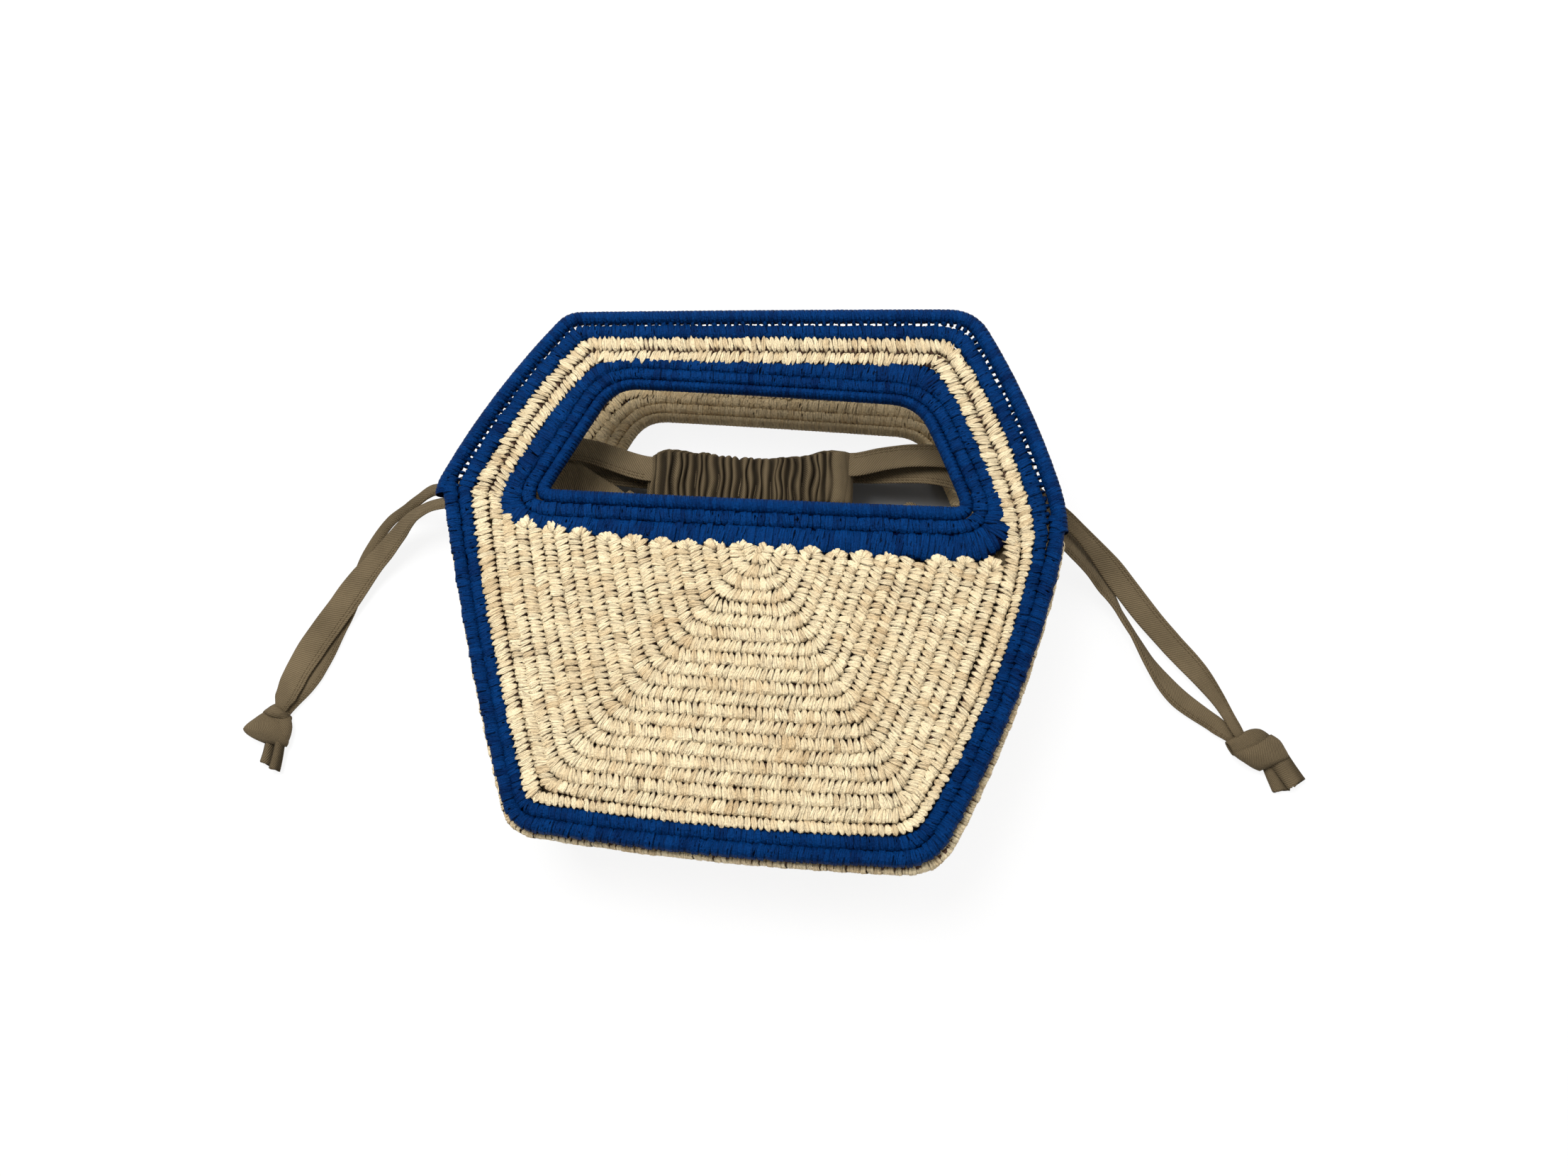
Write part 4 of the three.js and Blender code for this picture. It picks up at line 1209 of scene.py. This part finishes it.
WHIPS = stitch_shapes("whip", [oval(14, 0.5, 0.5, 1.1)], [
    (-0.62, -0.035, 0.5), (-0.36, 0.002, 0.0), (0.0, 0.012, 0.0), (0.36, 0.004, 0.0),
    (0.62, -0.035, 0.5)], 24, 0.003)
NECKS = stitch_shapes("neck", [oval(6, 0.5, 0.5)], [
    (-0.5, -0.1, 0.4), (0, 0.05, 0.2), (0.5, -0.1, 0.4)], 25)
COIL_HEIGHT = 7
COIL_Z = PANEL_TOP - COIL_HEIGHT / 2


def blue_rows(name, z, flat_z, offset, finish, slot, seed):
    """All the rows of a panel outside its natural body. z is the middle of the round coils,
    and flat_z that of the flat rows."""
    upper, lower = (UPPER_LEFT, UPPER_RIGHT), (LOWER_RIGHT, LOWER_LEFT)
    plump = {"shapes": PLUMPS, "pitch": STITCH_PITCH, "breadth": 1.02, "uneven": 0.8, "ruffle": 0.3}
    whipped = {"shapes": WHIPS, "height": COIL_HEIGHT, "breadth": 1.25, "uneven": 0.12}

    def piece(salt, part, rows, wide, replaced=None, **stitches):
        sewn_piece(f"{name}_{part}", rows, name, slot, finish, seed + salt, wide,
                   stitches["height"] * 0.75, *([f"{name}_{replaced}"] if replaced else []),
                   **stitches)

    def laid(row, sides, lean=1.0):
        return [level(run_of(row, *sides), z, 0.0, lean, False, offset)]

    rope = ring_row(OUTLINE, [3.6, 3.85, 0, 0, 0, 3.85], [7.2, 7.7, 7, 7, 7, 7.7])
    piece(1, "top_rope_whipping", laid(rope, upper), 0.8, "top_rope",
          **whipped, pitch=2.3, slant=14, ruffle=0.25)
    ties = ring_row(OUTLINE, [7.9, 8.5, 8, 8, 8, 8.5], [3, 3.4, 3, 3, 3, 3.2])
    piece(2, "rope_ties", laid(ties, upper), None, shapes=NECKS, pitch=3.9, height=3.4,
          breadth=0.5, uneven=2.4, ruffle=0.3)

    # From the seam beside it, which the binding half hides below, in to the natural rows.
    outer, _ = ring_row(OUTLINE, [(12.6, 14), 13.5, 9.9, 10.1, (9.2, 13.2), (14.6, 13.6)],
                        [8.2, 8.4, 6.8, 7.2, 7.2, 8.8])
    piece(3, "outer_row_stitches", [level(outer, z, 1.0, offset=offset)], 0.86, "outer_row",
          **plump, height=COIL_HEIGHT - 0.4, slant=8)
    binding = ring_row(OUTLINE, [3.7, 3.7, 3.7, 3.7, (3.7, 5.7), 3.7], [7.4] * 6)
    piece(4, "lower_binding_stitches", laid(binding, lower, -1.0), 0.9, "lower_binding",
          **plump, height=COIL_HEIGHT, slant=8)

    # The two rows round the opening. The outer one fills the way to the bare rows over it
    # and to the turns under it.
    bare = run_of(ring_row(
        OUTLINE, [(30.4, 32.7), 31.9, 31.9, 31.9, (22, 26.5), (34, 32.2)], [1] * 6), *upper)
    bare = [Vector(point[:2]) for point in bare]
    bar = [Vector((x, height_at(TURNS, x) + 2.5)) for x in range(150, -151, -10)]
    walls = [pair for line in (bare, bar) for pair in zip(line, line[1:])]
    inner, _ = ring_row(OPENING, [-8.0, -9.3, -11.2, -9.3], [6.4, 6.8, 7.5, 6.8], 0)
    piece(5, "opening_rows_stitches",
          [level(inner, flat_z, 1.0, offset=offset),
           level(filling_row(inner, walls, 6.2, 16), flat_z, 1.0, -1.0, offset=offset)],
          1.0, "opening_rows", **plump, height=FLAT_ROW, slant=6)
    rim, _ = ring_row(OPENING, [-2.5, -3.0, -3.8, -3.0], [5, 6, 7.6, 6], 0)
    piece(6, "opening_rim_whipping", [level(rim, z, offset=offset)], 0.85, "opening_rim",
          **whipped, pitch=2.0, slant=12, ruffle=0.2)


blue_rows("front", COIL_Z, FRONT_Z, Vector((0, 0)), BLUE, "raffia_blue", 50)

# ---------------------------------------------------------------------------------------
# The back panel: the same rows, all of bare raffia. It lies on the table.
OFF_TABLE = 0.1
BACK_Z = FLAT_ROW / 2 + OFF_TABLE
# The same bare raffia, coloured warmer and with a lighter dark tone: painted light for the warm
# light bounced into the shade inside the bag.
RAFFIA_FOR_BAG_SHADE = raffia_finish("browner_raffia", (0.97, 0.76, 0.44, 1), (0.78, 0.55, 0.27, 1), HOLLOW_SHADE,
                       0.5, 0.3)
natural_body("back", BACK_Z, LEAN, 71, RAFFIA_FOR_BAG_SHADE)
blue_rows("back", COIL_HEIGHT / 2 + OFF_TABLE, BACK_Z, LEAN, RAFFIA_FOR_BAG_SHADE, "raffia_natural", 90)

# ---------------------------------------------------------------------------------------
# The gusset: a strip of bare raffia rows coiled on edge, sewn between the two panels along
# the three lower edges.
GUSSET_LOW, GUSSET_HIGH = 7.3, 62.3
LEAN_HEIGHT = 62.6  # from the front's coils down to where the bag lies over by LEAN
GUSSET_ROWS = 8
GUSSET_INSETS = [(2.2, -1.6), (-1.6, -0.7), (-0.7, 2.4)]  # right, bottom and left


def leant(x, y, z):
    """A point between the two panels, moved as far as the bag lies over at its height."""
    return Vector((*(Vector((x, y)) + LEAN * ((COIL_Z - z) / LEAN_HEIGHT)), z))


def gusset_length(name, side, top_y, seed, body=None):
    """The gusset's rows along one side of the bag. At a free end they turn in pairs."""
    pitch = (GUSSET_HIGH - GUSSET_LOW) / GUSSET_ROWS
    flat = run_of(ring_row(OUTLINE, [0, 0, *GUSSET_INSETS, 0], [pitch] * 6), side, side)
    rows = []
    for k in range(GUSSET_ROWS):
        flip = float(k % 2) if top_y is None else float(side == LOWER_RIGHT)
        row = []
        for i, (x, y, width) in enumerate(flat):
            if top_y is None or y <= top_y:
                before, after = beside(flat, i)
                along = Vector((after[0] - before[0], after[1] - before[1])).normalized()
                spot = leant(x, y, GUSSET_LOW + (k + 0.5) * pitch)
                lean = 1.0 if k % 2 else -1.0
                row.append((spot, Vector((-along.y, along.x, 0)), width, flip, lean, 1.0))
        if side == LOWER_RIGHT:
            row.reverse()
        if top_y is None:
            rows.append((row, False))
        elif k % 2 == 0:
            path = row
        else:
            (near, facing, *_), far = path[-1], row[-1][0]
            rise = (near - path[-2][0]).normalized() * pitch / 2
            path += [(spot + out, facing, pitch, flip, 0.0, TURN_SPREAD)
                     for spot, out in turn_back(near, far, rise, 6)]
            rows.append((path + row[::-1], False))
    return sewn_piece(name, rows, body, "raffia_natural", NATURAL, seed, 0.96, 3.6,
                      name.removesuffix("_rows"), shapes=LEAVES, pitch=STITCH_PITCH,
                      height=4.8, slant=10, ruffle=0.4)


def fold_with_front(made):
    """Bakes a side of the bag's placement into its mesh."""
    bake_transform(made)


gusset_length("gusset_bottom_rows", BOTTOM, None, 111, "back")
fold_with_front(gusset_length("gusset_right_rows", LOWER_RIGHT, 10, 112))
fold_with_front(gusset_length("gusset_left_rows", LOWER_LEFT, 19, 113))

# ---------------------------------------------------------------------------------------
# The lining: two sheets of khaki twill that follow the panels and are gathered into the
# collar, and a strip between them inside the gusset.
LINING_INSET = 3.6
CLOTH = 1.0  # how thick it is
NECK = [(-137, 16), (-128, 44), (-107, 62.7), (-98, 59.6), (-77.9, 48.3), (-71.9, 44.1),
        (-69.3, 46.2), (-60, 39.4), (-58, 38.6), (50, 38.8), (52, 40), (66, 38), (74, 40.3),
        (82.4, 45.4), (90, 42.6), (95.2, 41.2), (107.4, 44.8), (120, 38), (131, 22), (138, 12)]
NECK_START, NECK_WIDTH = -135, 271
WIDEST, WIDEST_Y = 301, 18  # the sheet's width where the bag is widest, and where that is
SHEET_LENGTH = 180


def lining_sheet(name, panel_z, neck_z, seed, droop):
    """A sheet from the bag's bottom to the collar. Its top edge is the neck's outline, and
    droop is how much lower its left corner hangs, clear of the drawstring over it."""
    shift = leant(0, 0, panel_z)
    lines = side_lines(OUTLINE, [LINING_INSET] * 6)
    low_right, low_left = (meeting(lines[i - 1], lines[i]) for i in (BOTTOM, LOWER_LEFT))
    draw = random.Random(seed)
    folds = [(draw.uniform(9, 24), draw.uniform(0, 6)) for _ in range(4)]
    fold_y, shoulder, end = 14 + shift.y, 24 + shift.y, 39  # where it leaves the panel
    columns, steps, ripple = 120, 60, 1.6
    rings = []
    for i in range(columns + 1):
        share = i / columns
        top_x, wide_x = NECK_START + NECK_WIDTH * share, WIDEST * (share - 0.5)
        top_y = height_at(NECK, top_x)
        bottom = low_left.lerp(low_right, share) + shift.xy
        column = []
        for j in range(steps + 1):
            y = bottom.y + (top_y - bottom.y) * j / steps
            body = (y - bottom.y) / (WIDEST_Y - bottom.y)
            if body <= 1:
                x = bottom.x + (wide_x - bottom.x) * body
            else:
                drawn_in = smooth((y - WIDEST_Y) / max(top_y - WIDEST_Y, 1))
                x = wide_x + (top_x - wide_x) * drawn_in
            third = height_at([(fold_y, 0), (shoulder, 1), (max(end, shoulder + 1), 3)], y)
            free = ramp(y, 4, 30)
            gather = sum(math.sin(x / length * FULL_TURN + phase) for length, phase in folds) / 4
            hanging = droop * ramp(-top_x, 64, 20)
            z = panel_z + (neck_z - panel_z) * third / 3 + free * (ripple * gather - hanging)
            column.append(Vector((x, y, z)))
        rings.append(column)
    along = [WIDEST * i / columns for i in range(columns + 1)]
    across = [SHEET_LENGTH * j / steps for j in range(steps + 1)]
    return skin(name, rings, along, across, closed=False, ends="open")


def lining_piece(side, body, panel_z, neck_z, seed, droop):
    name = f"lining_{side}"
    mesh = lining_sheet(f"{name}_cloth", panel_z, neck_z, seed, droop)
    made = dress(f"{name}_cloth", mesh, body, name)
    thicken(made, CLOTH, 0)
    if not body:
        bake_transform(made)


lining_piece("front", None, 61.6, 30.6, 5, 0)
lining_piece("back", "back", 8.2, 21.2, 6, 4)

# The strip inside the gusset. It ends a little below the widest corners.
STRIP_LOW, STRIP_HEIGHT = 9.2, 51.6
RIGHT_END, LEFT_END = 10, 18
line = ring_row(OUTLINE, [LINING_INSET + CLOTH] * 6, [1] * 6)
line = [point for point in run_of(line, LOWER_RIGHT, LOWER_LEFT)
        if point[1] < (RIGHT_END if point[0] > 0 else LEFT_END)]
heights = [STRIP_HEIGHT * j / 12 for j in range(13)]
along = reaches([point[:2] for point in line])
rings = [[leant(x, y, STRIP_LOW + height) for height in heights] for x, y, _ in line]
mesh = skin("lining_gusset_cloth", rings, along, heights, closed=False, ends="open")
strip = dress("lining_gusset_cloth", mesh, None, "lining_gusset")
thicken(strip, CLOTH, 0)
fold_with_front(strip)

# ---------------------------------------------------------------------------------------
# The collar: the lining's mouth, gathered into deep pleats round the drawstrings that run
# inside it. It is flat for a short way at both ends, where the tapes come out.
PLEATS = 58
PER_PLEAT = 10
COLLAR_LOW, COLLAR_HIGH = -18, 14.4
PLEAT_DEPTH = 3.9
SWAY_LENGTH, SWAY_SHARE = 4.2, 0.006  # of the pleats' way up, and how far they stray
CLOTH_ROUND = 480  # how long the gathered cloth is
LIP = 2  # how far the rounded top rises over both walls
WALL = COLLAR_HIGH - COLLAR_LOW - 3  # their height
OUTSIDE, THROAT = 9.3, 2.5  # the walls' distances from the collar's middle line
OUTER_HALF, INNER_HALF = 46.4, 31.9  # how far their straight parts reach
TOP_SAG = [(-60, -11), (-56, -5), (-52, -2.4), (-45, -1), (-28, -2.8), (-10, -5.4), (5, -6.6),
           (27, -6), (42, -2), (52, 0), (60, 0)]


def round_collar(at, reach, radius):
    """A point of a long ring with round ends, by the share of the way round, and outwards."""
    straight, bow = 2 * reach, math.pi * radius
    d = at % 1.0 * 2 * (straight + bow)
    side = 1 if d < straight + bow else -1
    d -= 0 if side > 0 else straight + bow
    if d < straight:
        return Vector((side * (d - reach), side * radius)), Vector((0, side))
    t = (d - straight) / radius
    out = Vector((math.sin(t), math.cos(t))) * side
    return Vector((side * reach, 0)) + out * radius, out


def collar_profile():
    """Round the casing: up the outside, over the top, down the throat and across the bottom.
    Each point is its distance out, its height, how far the straight part of the ring at it
    reaches, and how deep the pleats are."""
    deep, drawn_in = OUTSIDE - THROAT, OUTER_HALF - INNER_HALF
    profile = [(OUTSIDE, COLLAR_LOW + 1 + WALL * k / 14, OUTER_HALF, 1.0) for k in range(15)]
    for k in range(1, 6):
        t = math.pi * k / 6
        profile.append((THROAT + deep * (1 + math.cos(t)) / 2,
                        COLLAR_HIGH - LIP + LIP * math.sin(t),
                        OUTER_HALF - drawn_in * k / 6, 1 - k / 7))
    profile += [(THROAT, COLLAR_HIGH - LIP - WALL * k / 8, INNER_HALF, 0.15) for k in range(9)]
    for t in (0.25, 0.5, 0.75):
        profile.append((THROAT + deep * t, COLLAR_LOW + 1 - math.sin(math.pi * t),
                        INNER_HALF + drawn_in * t, 0.15 + 0.8 * t))
    return profile


def collar_mesh():
    draw = random.Random(8)
    profile = collar_profile()

    def each(low, high):
        return [draw.uniform(low, high) for _ in range(PLEATS)]

    widths = each(0.65, 1.35)
    edges = [0.0]
    for width in widths:
        edges.append(edges[-1] + width / sum(widths))
    depths = each(0.7, 1.05)
    # How much each one bends sideways on its way up, and where.
    sways = [(draw.uniform(0.1, 0.75), draw.uniform(-1.6, 1.6) + j / 3) for j in range(PLEATS)]
    sways.append(sways[0])
    tops = each(-1.3, 1.1)
    knives = each(-1.3, 1.3)
    swells = [(draw.uniform(5, 9), draw.uniform(0, 6)) for _ in range(PLEATS)]
    rings, painted_shading = [], []
    for i in range(PLEATS * PER_PLEAT):
        pleat, within = divmod(i, PER_PLEAT)
        s = within / PER_PLEAT
        crest = math.sin(math.pi * s) ** 0.55 if s else 0  # full folds and narrow valleys
        ring = []
        for radius, y, reach, fold in profile:
            before, after = (size * math.sin(y / SWAY_LENGTH + phase)
                             for size, phase in sways[pleat:pleat + 2])
            sway = (1 - s) * before + s * after
            at = edges[pleat] + (edges[pleat + 1] - edges[pleat]) * s + sway * SWAY_SHARE
            spot, out = round_collar(at, reach, radius)
            # It is calm at both ends, where the tapes come out.
            calm = max(ramp(-spot.x, -47, 5), 0.06) * max(ramp(spot.x, -66, 8), 0.5)
            swell = 1 + 0.3 * math.sin(y / swells[pleat][0] + swells[pleat][1])
            spot += out * (PLEAT_DEPTH * depths[pleat] * fold * calm * swell * (crest - 0.5))
            spot += Vector((out.y, -out.x)) * (knives[pleat] * crest * fold * calm)
            high = (y - COLLAR_LOW) / (COLLAR_HIGH - COLLAR_LOW)
            frill = (2 + tops[pleat]) * max(high - 0.75, 0) * 4
            lift = height_at(TOP_SAG, spot.x) * high ** 2 + calm * (crest - 0.5) * frill
            ring.append(in_collar(spot.x, y + lift, spot.y))
            # Painted shade in the pleats' valleys, and a little all over.
            painted_shading.append(0.08 + (1 - math.sin(math.pi * s)) * calm * fold)
        rings.append(ring)
    along = [CLOTH_ROUND * i / len(rings) for i in range(len(rings) + 1)]
    across = reaches([point[:2] for point in profile], True)
    mesh = skin("collar_cloth", rings, along, across, ends="join")
    mark(mesh, "crease", painted_shading)
    return mesh


collar = dress("collar_cloth", collar_mesh(), "back", "collar_front", "collar_back")
thicken(collar, 0.5)

for shapes in (THREAD, LEAVES, SPIKES, PLUMPS, WHIPS, NECKS):
    for made in list(shapes.objects):
        bpy.data.objects.remove(made)
    bpy.data.collections.remove(shapes)
